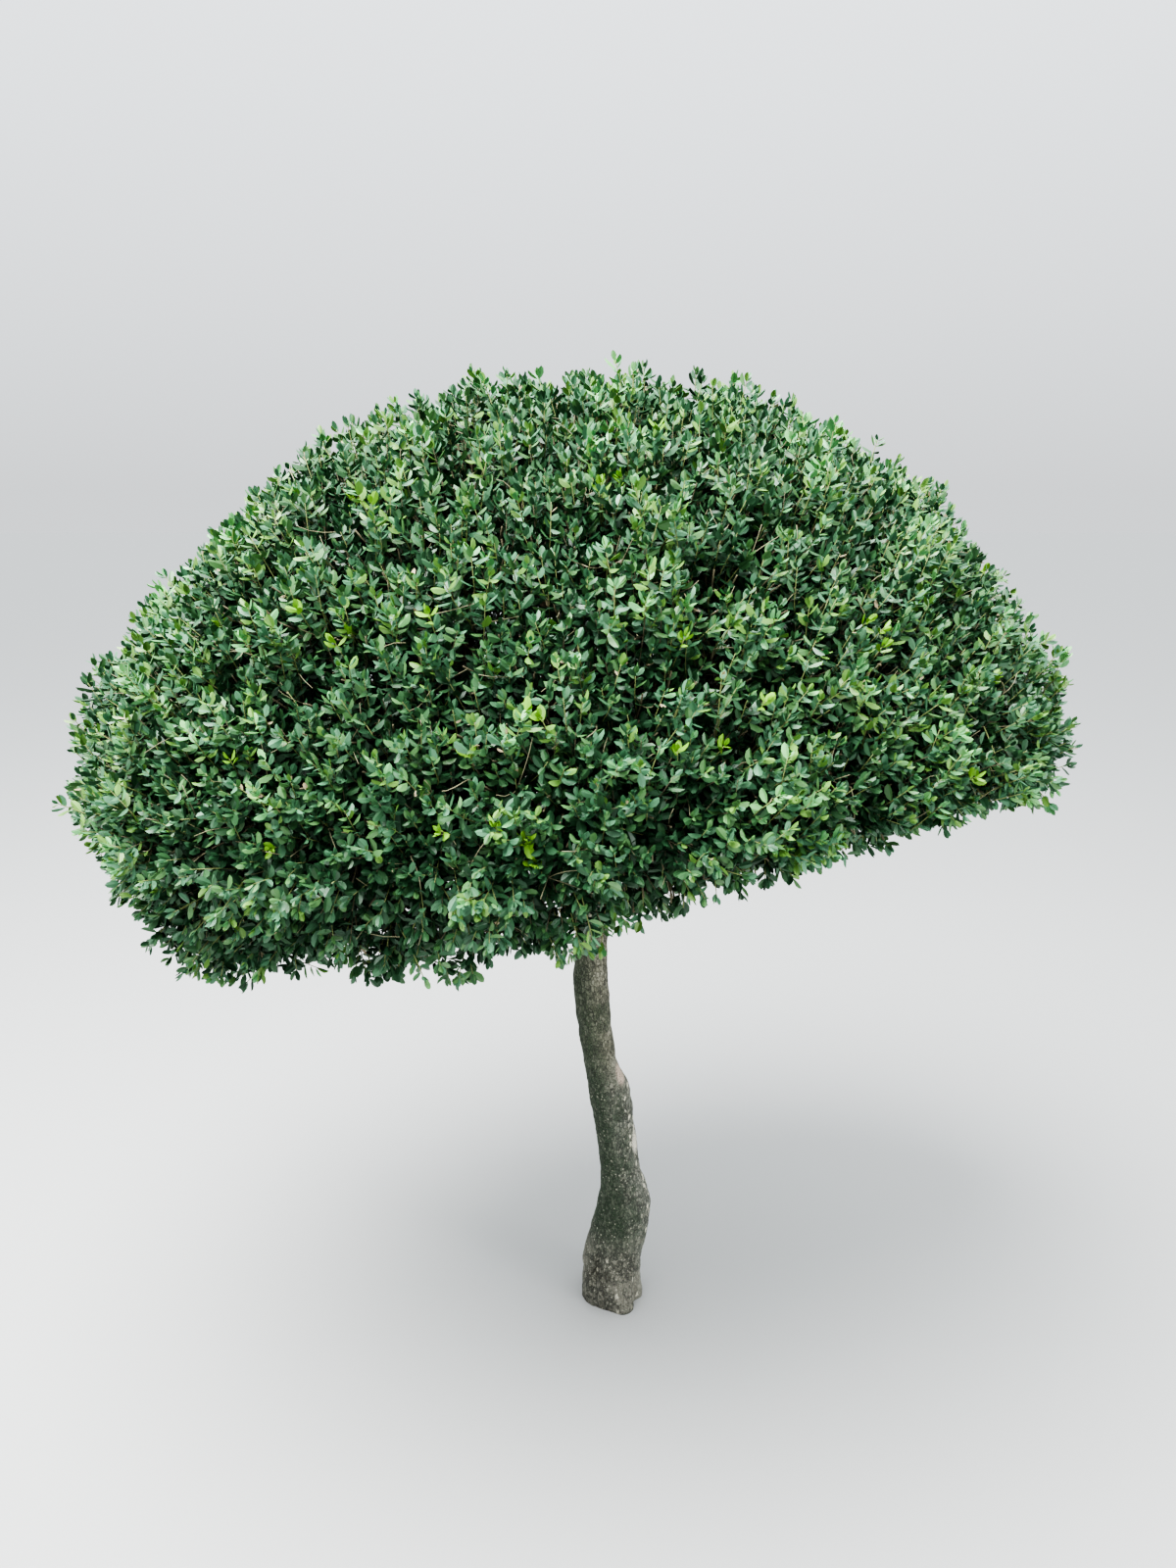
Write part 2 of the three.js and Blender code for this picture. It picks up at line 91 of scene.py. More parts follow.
def give(tree, socket, value):
    """Links an input to an output, or sets it to a plain value."""
    if isinstance(value, bpy.types.NodeSocket):
        tree.links.new(value, socket)
    else:
        socket.default_value = value


def add_node(tree, kind, settings=None, *ordered, **named):
    """A shader node with its settings and its inputs, in their order or by name. An underscore in
    a name is a blank."""
    node = tree.nodes.new(kind)
    for name, value in (settings or {}).items():
        setattr(node, name, value)
    for socket, value in zip(node.inputs, ordered):
        give(tree, socket, value)
    for name, value in named.items():
        give(tree, node.inputs[name.replace("_", " ")], value)
    return node


def colour_mix(tree, factor, under, over):
    """A colour that goes from under to over by a factor. Both are sockets or plain colours."""
    under, over = ((*c, 1) if isinstance(c, tuple) else c for c in (under, over))
    mix = add_node(
        tree, "ShaderNodeMix", {"data_type": "RGBA"}, Factor=factor, A=under, B=over
    )
    return mix.outputs["Result"]


def principled(name, **values):
    """A new material whose Principled shader has these values. Gives the material, its tree and the
    shader."""
    material = bpy.data.materials.new(name)
    material.use_nodes = True
    tree = material.node_tree
    shader = next(n for n in tree.nodes if n.type == "BSDF_PRINCIPLED")
    for key, value in values.items():
        shader.inputs[key.replace("_", " ")].default_value = value
    return material, tree, shader


def mesh_piece(name, points, faces, material):
    """One object from an (n, 3) array of points and a list of (m, corners) arrays of the numbers of
    each face's points."""
    mesh = bpy.data.meshes.new(name)
    corners = np.concatenate([f.ravel() for f in faces]).astype(np.int32)
    sizes = np.concatenate([np.full(len(f), f.shape[1]) for f in faces])
    starts = np.concatenate([[0], np.cumsum(sizes)[:-1]]).astype(np.int32)
    mesh.vertices.add(len(points))
    mesh.vertices.foreach_set("co", points.astype(np.float32).ravel())
    mesh.loops.add(len(corners))
    mesh.loops.foreach_set("vertex_index", corners)
    mesh.polygons.add(len(starts))
    mesh.polygons.foreach_set("loop_start", starts)
    mesh.polygons.foreach_set("use_smooth", np.ones(len(starts), dtype=bool))
    mesh.update(calc_edges=True)
    mesh.materials.append(material)
    piece = bpy.data.objects.new(name, mesh)
    bpy.context.collection.objects.link(piece)
    return piece


floor_material, _, _ = principled("floor", Base_Color=FLOOR_COLOUR, Roughness=0.9)
floor_corners = np.array([(-1, -1, 0), (1, -1, 0), (1, 1, 0), (-1, 1, 0)]) * FLOOR_HALF
floor = mesh_piece("floor", floor_corners, [np.array([[0, 1, 2, 3]])], floor_material)
floor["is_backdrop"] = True

world = bpy.data.worlds.new("studio")
world.use_nodes = True
bpy.context.scene.world = world
sky = world.node_tree
sky_place = add_node(sky, "ShaderNodeTexCoord").outputs["Generated"]
sky_height = add_node(sky, "ShaderNodeSeparateXYZ", Vector=sky_place).outputs["Z"]
dome = sky.nodes["Background"]
dome.inputs["Strength"].default_value = DOME_STRENGTH
give(sky, dome.inputs["Color"], colour_mix(sky, sky_height, DOME_LOW, DOME_HIGH))

for name, place, turn, size, spread, watts in SOFT_LIGHTS:
    light_data = bpy.data.lights.new(name, "AREA")
    light_data.shape = "DISK"
    light_data.size = size
    light_data.spread = math.radians(spread)
    light_data.energy = watts
    light = bpy.data.objects.new(name, light_data)
    light.location = place
    light.rotation_euler = [math.radians(angle) for angle in turn]
    bpy.context.collection.objects.link(light)
    light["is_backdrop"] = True


# The trunk
# One bent box stem, rooted in the ground: a low root flare, a kink to the right at ankle height,
# an old pruning knob, and thin flaky bark. It replaces the CAD trunk, on its axis and radii.
TRUNK_RINGS_MM = np.array([
    # height, x, y, radius
    (0, 4, 0, 53),
    (30, 5, -2, 52),
    (76, 8, -4, 51),
    (139, 18, -8, 49.5),
    (190, 24, -11, 46.5),
    (231, 23, -14, 39.5),
    (265, 19, -16, 35.5),
    (322, 13, -19, 34.5),
    (380, 4, -23, 34.5),
    (416, -2, -25, 34),
    (451, -10, -27, 31),
    (496, -19, -30, 28),
    (542, -26, -32, 28.5),
    (579, -30, -34, 29.5),
    (633, -33, -38, 28.5),
    (689, -34, -41, 27),
    (790, -31, -44, 26.5),
    (880, -27, -47, 24),
    (940, -25, -50, 19),
])
TRUNK_SWELLINGS_MM = np.array([
    # height, side in radians, size, tall, wide in radians
    (446, -0.2, 6.5, 22, 0.9),
    (396, -0.2, 3.5, 34, 0.8),
    (200, 0.1, 5, 40, 0.8),
    (84, 3.35, 7, 48, 0.6),
    (22, 3.7, 6, 30, 0.5),
    (0, 5.05, 20, 52, 0.42),
    (0, 6.1, 7, 40, 0.45),
    (0, 1.0, 11, 50, 0.5),
    (0, 2.2, 12, 55, 0.5),
    (645, 3.0, 2.5, 26, 0.8),
    (815, 4.0, 4, 40, 0.7),
    # The folds between the root flares.
    (66, 4.02, -9, 50, 0.15),
    (20, 5.6, -7, 42, 0.16),
    (30, 0.3, -6, 44, 0.18),
    (24, 1.6, -7, 50, 0.20),
    (30, 2.9, -6, 50, 0.18),
    (416, 5.7, -3, 11, 0.8),
])
TRUNK_COLUMNS, TRUNK_ROWS = 150, 400
BARK_SEED = 4117
FOOT_RIDGE_MM, FOOT_RIDGE_REACH_MM = 4.0, 75
FOOT_CELLS, FINE_FOOT_CELLS = (5, 9), (12, 24)
FINE_RIDGES = 0.45
BARK_LAYERS_MM = [
    # cell height, cells round, depth
    (46, 7, 1.5),
    (19, 13, 1.0),
    (8.5, 30, 0.55),
    (4.2, 58, 0.32),
]
RIDGED_BELOW_MM = 10


def unit(vectors):
    """Each vector divided by its own length."""
    return vectors / np.linalg.norm(vectors, axis=-1, keepdims=True)


def trunk_at(height):
    """Axis x, axis y and radius, in mm, at each height: between two stations each value runs half
    straight and half eased by 3t^2 - 2t^3, where t is the share of the way between them."""
    stations = TRUNK_RINGS_MM
    below = np.clip(np.searchsorted(stations[:, 0], height) - 1, 0, len(stations) - 2)
    low, high = stations[below], stations[below + 1]
    share = np.clip((height - low[..., 0]) / (high[..., 0] - low[..., 0]), 0, 1)
    mix = 0.5 * share + 0.5 * share**2 * (3 - 2 * share)
    return np.moveaxis(low[..., 1:] + (high - low)[..., 1:] * mix[..., None], -1, 0)


def trunk_swelling(height, side):
    """Sum over the swellings of size * exp(-(height off / tall)^2 - (angle off / wide)^2)."""
    total = np.zeros(np.broadcast(height, side).shape)
    for middle, turn, size, tall, wide in TRUNK_SWELLINGS_MM:
        off = np.arctan2(np.sin(side - turn), np.cos(side - turn))
        total += size * np.exp(-(((height - middle) / tall) ** 2) - (off / wide) ** 2)
    return total


def smooth_cells(rows, columns, cells_up, cells_round, random):
    """A grid of values from -1 to 1: a random value at each cell corner, eased between corners, the
    same on the first and last column, so that it closes round a stem."""
    corners = random.uniform(-1, 1, (cells_up + 2, cells_round))
    up = np.linspace(0, cells_up, rows)[:, None]
    turn = (np.arange(columns) / columns * cells_round)[None, :]
    i, j = np.floor(up).astype(int), np.floor(turn).astype(int)
    u, v = up - i, turn - j
    u, v = u * u * (3 - 2 * u), v * v * (3 - 2 * v)
    j_next = (j + 1) % cells_round
    low = corners[i, j] * (1 - v) + corners[i, j_next] * v
    high = corners[i + 1, j] * (1 - v) + corners[i + 1, j_next] * v
    return low * (1 - u) + high * u


def foot_ridges(rows, columns, random):
    """Upright ridges of the root flare in mm: tall cells, with finer ones raised to ridges by
    1 - 2|value|, times exp(-height / reach of the ridges)."""
    height = np.linspace(0, TRUNK_RINGS_MM[-1, 0], rows)[:, None]
    coarse = smooth_cells(rows, columns, *FOOT_CELLS, random)
    fine = smooth_cells(rows, columns, *FINE_FOOT_CELLS, random)
    fade = np.exp(-height / FOOT_RIDGE_REACH_MM)
    return FOOT_RIDGE_MM * fade * (coarse + FINE_RIDGES * (1 - 2 * np.abs(fine)))


def bark_relief(rows, columns, tall, girth_share, random):
    """Height of the bark in mm: layers of cells, each finer and shallower, the fine ones raised to
    ridges by 1 - 2|value|. girth_share scales the number of cells round a thinner limb."""
    relief = np.zeros((rows, columns))
    for cell, around, depth in BARK_LAYERS_MM:
        cells_up = max(2, round(tall / cell))
        cells_round = max(4, round(around * girth_share))
        cells = smooth_cells(rows, columns, cells_up, cells_round, random)
        relief += depth * (cells if cell > RIDGED_BELOW_MM else 1 - 2 * np.abs(cells))
    return relief


def tube_faces(rows, columns):
    """Point numbers of a closed tube: quads between rings, and a fan on each end round two added
    points, the foot's and then the tip's."""
    ring = np.arange(columns)
    row = np.arange(rows - 1)[:, None] * columns
    a = row + ring
    b = row + (ring + 1) % columns
    quads = np.stack([a, b, b + columns, a + columns], axis=-1).reshape(-1, 4)
    foot, tip = rows * columns, rows * columns + 1
    last = (rows - 1) * columns
    start = np.stack([(ring + 1) % columns, ring, np.full(columns, foot)], axis=-1)
    end = np.stack([last + ring, last + (ring + 1) % columns, np.full(columns, tip)], axis=-1)
    return quads, np.concatenate([start, end])


def both(tree, kind, first, second):
    """Two values put through one Math operation. Each is a socket or a plain number."""
    return add_node(tree, "ShaderNodeMath", {"operation": kind}, first, second).outputs["Value"]


def times(tree, first, second):
    """One value times another."""
    return both(tree, "MULTIPLY", first, second)


def stretch(tree, value, low, high, top=1.0):
    """A value's range from low to high, spread over 0 to top with eased ends and held there."""
    spread = add_node(
        tree, "ShaderNodeMapRange", {"interpolation_type": "SMOOTHSTEP"},
        Value=value, From_Min=low, From_Max=high, To_Max=top,
    )
    return spread.outputs["Result"]


def noise(tree, place, output="Fac", **values):
    """What a noise texture with these values puts out at a place."""
    return add_node(tree, "ShaderNodeTexNoise", Vector=place, **values).outputs[output]


def bent_place(tree, place, reach, scale):
    """A place plus a noise's colour times a reach in metres."""
    off = noise(tree, place, "Color", Scale=scale, Detail=2.0)
    bent = add_node(
        tree, "ShaderNodeVectorMath", {"operation": "MULTIPLY_ADD"}, off, (reach,) * 3, place
    )
    return bent.outputs["Vector"]


def near_place(tree, place, centre, reach):
    """A mask that is 1 at a centre and fades to 0 at a reach along each axis, in metres."""
    mapping = add_node(
        tree, "ShaderNodeMapping", {"vector_type": "TEXTURE"},
        Vector=place, Location=centre, Scale=reach,
    )
    ball = add_node(
        tree, "ShaderNodeTexGradient", {"gradient_type": "SPHERICAL"},
        Vector=mapping.outputs["Vector"],
    )
    return ball.outputs["Fac"]


# Bark shared by the trunk, the limbs and the branches: mottles, and small plates with dark seams.
MOTTLE_SCALE, SPECKLE_SCALE, PLATE_SCALE = 30.0, 420.0, 230.0
PLATE_BEND_M, PLATE_BEND_SCALE = 0.007, 60.0
PLATE_STRETCH = (1, 1, 0.5)
SEAM_WIDTH = 0.14


def bark_grain_group():
    """Node group: from a place and a fineness, the mottle, the fine speckle, each plate's shade,
    the seams between the plates, and a height: the shade less the seams, plus the speckle."""
    group = bpy.data.node_groups.new("bark_grain", "ShaderNodeTree")
    group.interface.new_socket("Place", in_out="INPUT", socket_type="NodeSocketVector")
    group.interface.new_socket("Fineness", in_out="INPUT", socket_type="NodeSocketFloat")
    for name in ("Mottle", "Speckle", "Shade", "Seams", "Height"):
        group.interface.new_socket(name, in_out="OUTPUT", socket_type="NodeSocketFloat")
    start = add_node(group, "NodeGroupInput")
    even = add_node(
        group, "ShaderNodeVectorMath", {"operation": "SCALE"},
        start.outputs["Place"], Scale=start.outputs["Fineness"],
    )
    place = even.outputs["Vector"]
    mottle = noise(group, place, Scale=MOTTLE_SCALE, Detail=4.0, Roughness=0.62)
    speckle = noise(group, place, Scale=SPECKLE_SCALE, Detail=3.0, Roughness=0.7)
    bent = bent_place(group, place, PLATE_BEND_M, PLATE_BEND_SCALE)
    tall = add_node(group, "ShaderNodeMapping", Vector=bent, Scale=PLATE_STRETCH)
    cells = {"Vector": tall.outputs["Vector"], "Scale": PLATE_SCALE, "Randomness": 1.0}
    plates = add_node(group, "ShaderNodeTexVoronoi", **cells)
    borders = add_node(group, "ShaderNodeTexVoronoi", {"feature": "DISTANCE_TO_EDGE"}, **cells)
    shade = add_node(group, "ShaderNodeSeparateColor", Color=plates.outputs["Color"]).outputs["Red"]
    seams = stretch(group, borders.outputs["Distance"], SEAM_WIDTH, 0.0)
    height = both(group, "ADD", both(group, "SUBTRACT", shade, seams), speckle)
    add_node(
        group, "NodeGroupOutput",
        Mottle=mottle, Speckle=speckle, Shade=shade, Seams=seams, Height=height,
    )
    return group


BARK_GRAIN = bark_grain_group()
TAN_BARK = (0.226, 0.222, 0.160)
GREY_BARK = (0.160, 0.172, 0.142)
DARK_BARK = (0.030, 0.031, 0.025)
PALE_BARK = (0.400, 0.385, 0.310)
# The green of algae, which on the trunk's left is painted shade as well.
ALGAE_AND_SHADE_GREEN = (0.026, 0.052, 0.023)
LICHEN = (0.660, 0.630, 0.500)
CALLUS = (0.560, 0.450, 0.360)
BARE_WOOD = (0.660, 0.620, 0.520)
# A dark brown: painted shade in the crevice at the left of the foot, and the dark streaks of the
# foot.
CREVICE_SHADE_AND_STREAK_BARK = (0.050, 0.046, 0.032)
SEAM_DARKNESS, SPOTS_FROM = 0.5, 0.5
BARK_SPOTS = [
    # output of the grain, the value where they are fullest, amount, colour
    ("Shade", 1.0, 0.34, PALE_BARK),
    ("Shade", 0.0, 0.70, DARK_BARK),
    ("Speckle", 0.70, 0.55, PALE_BARK),
    ("Speckle", 0.32, 0.70, DARK_BARK),
]


def start_bark(name, roughness, fineness):
    """A new bark material. Gives it, its tree, its shader, the place in it, and its grain."""
    material, tree, shader = principled(name, Roughness=roughness)
    place = add_node(tree, "ShaderNodeTexCoord").outputs["Object"]
    grain = add_node(
        tree, "ShaderNodeGroup", {"node_tree": BARK_GRAIN}, Place=place, Fineness=fineness
    )
    return material, tree, shader, place, grain


def finish_bark(tree, shader, colour, grain, strength, distance):
    """Gives a bark its colour, and a bump from the height of its grain."""
    relief = grain.outputs["Height"]
    bump = add_node(tree, "ShaderNodeBump", Height=relief, Strength=strength, Distance=distance)
    give(tree, shader.inputs["Base Color"], colour)
    give(tree, shader.inputs["Normal"], bump.outputs["Normal"])


def spotted(tree, grain, colour, amount):
    """A bark colour with paler and darker plates, paler and darker grains, and dark seams."""
    for output, full, most, over in BARK_SPOTS:
        spots = stretch(tree, grain.outputs[output], SPOTS_FROM, full, most)
        colour = colour_mix(tree, times(tree, spots, amount), colour, over)
    seams = times(tree, grain.outputs["Seams"], SEAM_DARKNESS)
    return colour_mix(tree, seams, colour, DARK_BARK)


FLECK_CHOICE, FLECK_EDGE = (1.0, 1.12), (0.50, 0.28)


def flecks_of(tree, place, scale, wobble, extra):
    """A mask of irregular flecks: the cells of a bent place whose own value, plus extra, passes 1,
    each shrunk to its middle."""
    bent = bent_place(tree, place, wobble / scale, 3 * scale)
    cells = add_node(tree, "ShaderNodeTexVoronoi", Vector=bent, Scale=scale, Randomness=1.0)
    own = add_node(tree, "ShaderNodeSeparateColor", Color=cells.outputs["Color"])
    chosen = stretch(tree, both(tree, "ADD", own.outputs["Green"], extra), *FLECK_CHOICE)
    return times(tree, stretch(tree, cells.outputs["Distance"], *FLECK_EDGE), chosen)


# Where the trunk's bark changes, in metres. Left and right are measured along one direction.
LOW_BARK_HEIGHTS = (0.53, 0.40)
FOOT_HEIGHTS = (0.18, 0.06)
LEFTWARD = (-0.92, -0.38, -0.15)
LEFT_SIDE, RIGHT_SIDE = (-0.060, -0.022), (-0.050, -0.082)
ALGAE_BAND, ALGAE_BAND_REACH = (-0.012, -0.068, 0.578), (0.050, 0.050, 0.038)
KNOB, SCAR = (0.019, -0.045, 0.472), (0.047, -0.036, 0.330)
WOUNDS = [
    # centre, reach, amount, colour
    (KNOB, (0.034, 0.030, 0.040), 0.45, PALE_BARK),
    (KNOB, (0.013, 0.021, 0.030), 2.0, CALLUS),
    (SCAR, (0.011, 0.018, 0.030), 2.0, BARE_WOOD),
]
STREAKS_FROM = 0.48
FOOT_STREAKS = [
    # the patches' value where they are fullest, amount, colour
    (0.60, 0.34, PALE_BARK),
    (0.36, 0.40, CREVICE_SHADE_AND_STREAK_BARK),
]
PATCH_SCALE, DOT_SCALE, FLAKE_SCALE = 17.0, 260.0, 125.0
FLAKE_STRETCH = (1, 1, 0.6)
# Each is the value where something starts, the value where it is full, and how much it is there,
# which is 1 where nothing is said.
DARK_MOTTLE, PALE_MOTTLE = (0.46, 0.70, 0.45), (0.48, 0.30, 0.5)
LOW_ALGAE, BAND_ALGAE, BAND_EDGE = (0.38, 0.60, 0.78), (0.30, 0.60, 2.2), (0.15, 0.70, 0.62)
WOUND_EDGE, WOUND_RAGGED = (0.0, 0.6), (0.30, 0.62)
# How dark green the left side is, from algae and painted shade, how much more so low down, how
# dark the painted shade at the left of its foot is, and how much of the plates and grains the
# green hides.
LEFT_ALGAE_AND_SHADE, LEFT_ALGAE_AND_SHADE_LOW, FOOT_SHADE, ALGAE_AND_SHADE_HIDE = 0.84, 0.11, 0.7, 0.55
# How ragged the lichen's dots and flakes are, how pale, and how many more there are in each zone.
DOT_WOBBLE, DOT_AMOUNT, DOTS_LOW = 0.4, 0.5, 0.14
FLAKE_WOBBLE, FLAKE_AMOUNT = 0.8, 0.9
FLAKES_LOW, FLAKES_RIGHT, FLAKES_FOOT = 0.025, 0.38, 0.07
TRUNK_BUMP = (0.9, 0.0014)


def trunk_material():
    """Tan bark above and grey below, with small plates, each of its own shade, and dark seams.
    Green algae darkens most of the lower front, and on the left algae and painted shade darken it
    together. The foot is dry and streaky, with painted shade in the crevice at its left. Pale
    flecks of lichen lie over the lower half, more of them on the right, and two old wounds show:
    one on the knob, and bare wood below it."""
    material, tree, shader, place, grain = start_bark("trunk_bark", 0.88, 1.0)
    height = add_node(tree, "ShaderNodeSeparateXYZ", Vector=place).outputs["Z"]
    low = stretch(tree, height, *LOW_BARK_HEIGHTS)
    foot = stretch(tree, height, *FOOT_HEIGHTS)
    lean = add_node(
        tree, "ShaderNodeVectorMath", {"operation": "DOT_PRODUCT"}, place, LEFTWARD
    )
    left = stretch(tree, lean.outputs["Value"], *LEFT_SIDE)
    right = stretch(tree, lean.outputs["Value"], *RIGHT_SIDE)
    mottle = grain.outputs["Mottle"]
    patches = noise(tree, place, Scale=PATCH_SCALE, Detail=6.0, Roughness=0.7)

    colour = colour_mix(tree, low, TAN_BARK, GREY_BARK)
    colour = colour_mix(tree, stretch(tree, mottle, *DARK_MOTTLE), colour, DARK_BARK)
    colour = colour_mix(tree, stretch(tree, mottle, *PALE_MOTTLE), colour, PALE_BARK)

    cover = times(tree, low, stretch(tree, patches, *LOW_ALGAE))
    cover = times(tree, cover, both(tree, "SUBTRACT", 1.0, right))
    band = near_place(tree, place, ALGAE_BAND, ALGAE_BAND_REACH)
    band = times(tree, band, stretch(tree, patches, *BAND_ALGAE))
    # On the left the algae's green is painted shade as well.
    deep = both(tree, "ADD", times(tree, low, LEFT_ALGAE_AND_SHADE_LOW), LEFT_ALGAE_AND_SHADE)
    damp_and_shade = both(tree, "MAXIMUM", times(tree, left, deep), cover)
    damp_and_shade = both(tree, "MAXIMUM", damp_and_shade, stretch(tree, band, *BAND_EDGE))
    green = times(tree, damp_and_shade, both(tree, "SUBTRACT", 1.0, foot))
    colour = colour_mix(tree, green, colour, ALGAE_AND_SHADE_GREEN)
    # Painted shade: the left of the foot darkens, as in the crevice beside its left root flare.
    shade = times(tree, times(tree, left, foot), FOOT_SHADE)
    colour = colour_mix(tree, shade, colour, CREVICE_SHADE_AND_STREAK_BARK)

    dry = both(tree, "SUBTRACT", 1.0, times(tree, green, ALGAE_AND_SHADE_HIDE))
    colour = spotted(tree, grain, colour, dry)
    for full, amount, over in FOOT_STREAKS:
        streaks = times(tree, stretch(tree, patches, STREAKS_FROM, full, amount), foot)
        colour = colour_mix(tree, streaks, colour, over)

    dots = flecks_of(tree, place, DOT_SCALE, DOT_WOBBLE, times(tree, low, DOTS_LOW))
    colour = colour_mix(tree, times(tree, dots, DOT_AMOUNT), colour, LICHEN)
    flat = add_node(tree, "ShaderNodeMapping", Vector=place, Scale=FLAKE_STRETCH)
    more = both(tree, "ADD", times(tree, right, FLAKES_RIGHT), times(tree, foot, FLAKES_FOOT))
    more = times(tree, both(tree, "ADD", more, FLAKES_LOW), low)
    flakes = flecks_of(tree, flat.outputs["Vector"], FLAKE_SCALE, FLAKE_WOBBLE, more)
    colour = colour_mix(tree, times(tree, flakes, FLAKE_AMOUNT), colour, LICHEN)

    ragged = stretch(tree, grain.outputs["Speckle"], *WOUND_RAGGED)
    for centre, reach, amount, over in WOUNDS:
        wound = stretch(tree, near_place(tree, place, centre, reach), *WOUND_EDGE, amount)
        colour = colour_mix(tree, times(tree, wound, ragged), colour, over)
    finish_bark(tree, shader, colour, grain, *TRUNK_BUMP)
    return material


trunk_top_mm = TRUNK_RINGS_MM[-1, 0]
trunk_height = np.linspace(0, trunk_top_mm, TRUNK_ROWS)[:, None]
trunk_side = (np.arange(TRUNK_COLUMNS) / TRUNK_COLUMNS * 2 * math.pi)[None, :]
axis_x, axis_y, trunk_radius = trunk_at(trunk_height)
trunk_random = np.random.default_rng(BARK_SEED)
trunk_relief = bark_relief(TRUNK_ROWS, TRUNK_COLUMNS, trunk_top_mm, 1.0, trunk_random)
trunk_relief += foot_ridges(TRUNK_ROWS, TRUNK_COLUMNS, trunk_random)
trunk_full = trunk_radius + trunk_swelling(trunk_height, trunk_side) + trunk_relief
trunk_rings = np.stack([
    axis_x + trunk_full * np.cos(trunk_side),
    axis_y + trunk_full * np.sin(trunk_side),
    trunk_height + 0 * trunk_side,
], axis=-1)
trunk_ends = np.array([
    (*TRUNK_RINGS_MM[0, 1:3], 0),
    (*TRUNK_RINGS_MM[-1, 1:3], trunk_top_mm),
])
trunk_points = np.concatenate([trunk_rings.reshape(-1, 3), trunk_ends]) / 1000
trunk = mesh_piece(
    "trunk_bark", trunk_points, tube_faces(TRUNK_ROWS, TRUNK_COLUMNS), trunk_material()
)
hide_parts("trunk")
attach(trunk, "root")


# The crown's shape
# Not a piece: the clipped head that every limb and twig grows towards, as in the CAD. It is an oval
# dome over a shallower underside that hangs lower at one end, in mm, and 1 is at the leaf tips.
# Inside the lower lip, where the CAD is open, thin shaded growth makes a shallow dish.
CROWN_CENTRE = np.array([-46.0, -86.0, 1042.0])
CROWN_HALF_LENGTH, CROWN_HALF_WIDTH = 754, 562
CROWN_TURN = 0.185
CROWN_RISE, CROWN_DROP, DROP_LEAN = 575, 225, 0.94
CROWN_TILT = 0.035
TOP_POWER, UNDER_POWER = 1.81, 1.8
SWELL, SWELL_ANGLE, SWELL_MEAN = 0.045, 0.42, 0.6
LIP_LATITUDE = -0.62
DISH = 0.45
UPPER_MASSES, UPPER_LATITUDE = 5, 0.78
RIM_MASSES, RIM_TURN, RIM_LATITUDE = 7, 0.224, 0.08
SLOPE_STEP, POLE_GAP = 0.02, 0.03


def heading(azimuth, latitude):
    """The unit vector at an azimuth and a latitude."""
    level = np.cos(latitude)
    return np.stack(
        [level * np.cos(azimuth), level * np.sin(azimuth), np.sin(latitude)], axis=-1
    )


upper_azimuths = np.arange(UPPER_MASSES) * 2 * math.pi / UPPER_MASSES
rim_azimuths = RIM_TURN + np.arange(RIM_MASSES) * 2 * math.pi / RIM_MASSES
SITE_AZIMUTHS = np.concatenate([[0], upper_azimuths, rim_azimuths])
SITE_LATITUDES = np.repeat(
    [math.pi / 2, UPPER_LATITUDE, RIM_LATITUDE], [1, UPPER_MASSES, RIM_MASSES]
)
SITE_HEADINGS = heading(SITE_AZIMUTHS, SITE_LATITUDES)


def crown_point(azimuth, latitude, share):
    """A point of the head in mm. Its reach from the middle line is share * cos(latitude)^p and its
    height share * sin(latitude)^p, with p = 2 / power, both swollen a little near each mass. The
    height is measured by the dome's rise, or by the underside's drop, which is larger at one end.
    Inside the lip the height falls off with the square of the reach, down to 1 - dish of that at
    the lip."""
    sine = np.sin(latitude)
    power = 2 / np.where(sine >= 0, TOP_POWER, UNDER_POWER)
    cosine = np.clip(heading(azimuth, latitude) @ SITE_HEADINGS.T, -1, 1)
    nearest = np.arccos(cosine).min(axis=-1)
    full = share * (1 + SWELL * (np.exp(-((nearest / SWELL_ANGLE) ** 2)) - SWELL_MEAN))
    reach = full * np.abs(np.cos(latitude)) ** power
    lift = full * np.abs(np.maximum(sine, math.sin(LIP_LATITUDE))) ** power
    inward = 1 - np.minimum(np.abs(np.cos(latitude)) / math.cos(LIP_LATITUDE), 1) ** (2 * power)
    lift = lift * (1 - DISH * np.where(latitude < LIP_LATITUDE, inward, 0))
    along = reach * np.cos(azimuth)
    depth = CROWN_DROP * np.exp(-DROP_LEAN * along)
    height = np.where(sine >= 0, CROWN_RISE * lift, -depth * lift)
    x = CROWN_HALF_LENGTH * along
    y = CROWN_HALF_WIDTH * reach * np.sin(azimuth)
    z = height + CROWN_TILT * x
    turned = np.stack([
        x * math.cos(CROWN_TURN) - y * math.sin(CROWN_TURN),
        x * math.sin(CROWN_TURN) + y * math.cos(CROWN_TURN),
        z,
    ], axis=-1)
    return turned + CROWN_CENTRE


def crown_slopes(azimuth, latitude):
    """The head's surface at a place: its outward unit vector, and how much surface there is for
    each unit of the sphere of headings, from two short steps east and north."""
    latitude = np.minimum(latitude, math.pi / 2 - POLE_GAP)
    here = crown_point(azimuth, latitude, 1)
    east = crown_point(azimuth + SLOPE_STEP, latitude, 1) - here
    north = crown_point(azimuth, latitude + SLOPE_STEP, 1) - here
    across = np.cross(east, north)
    size = np.linalg.norm(across, axis=-1)
    return across / size[..., None], size / (SLOPE_STEP**2 * np.cos(latitude))


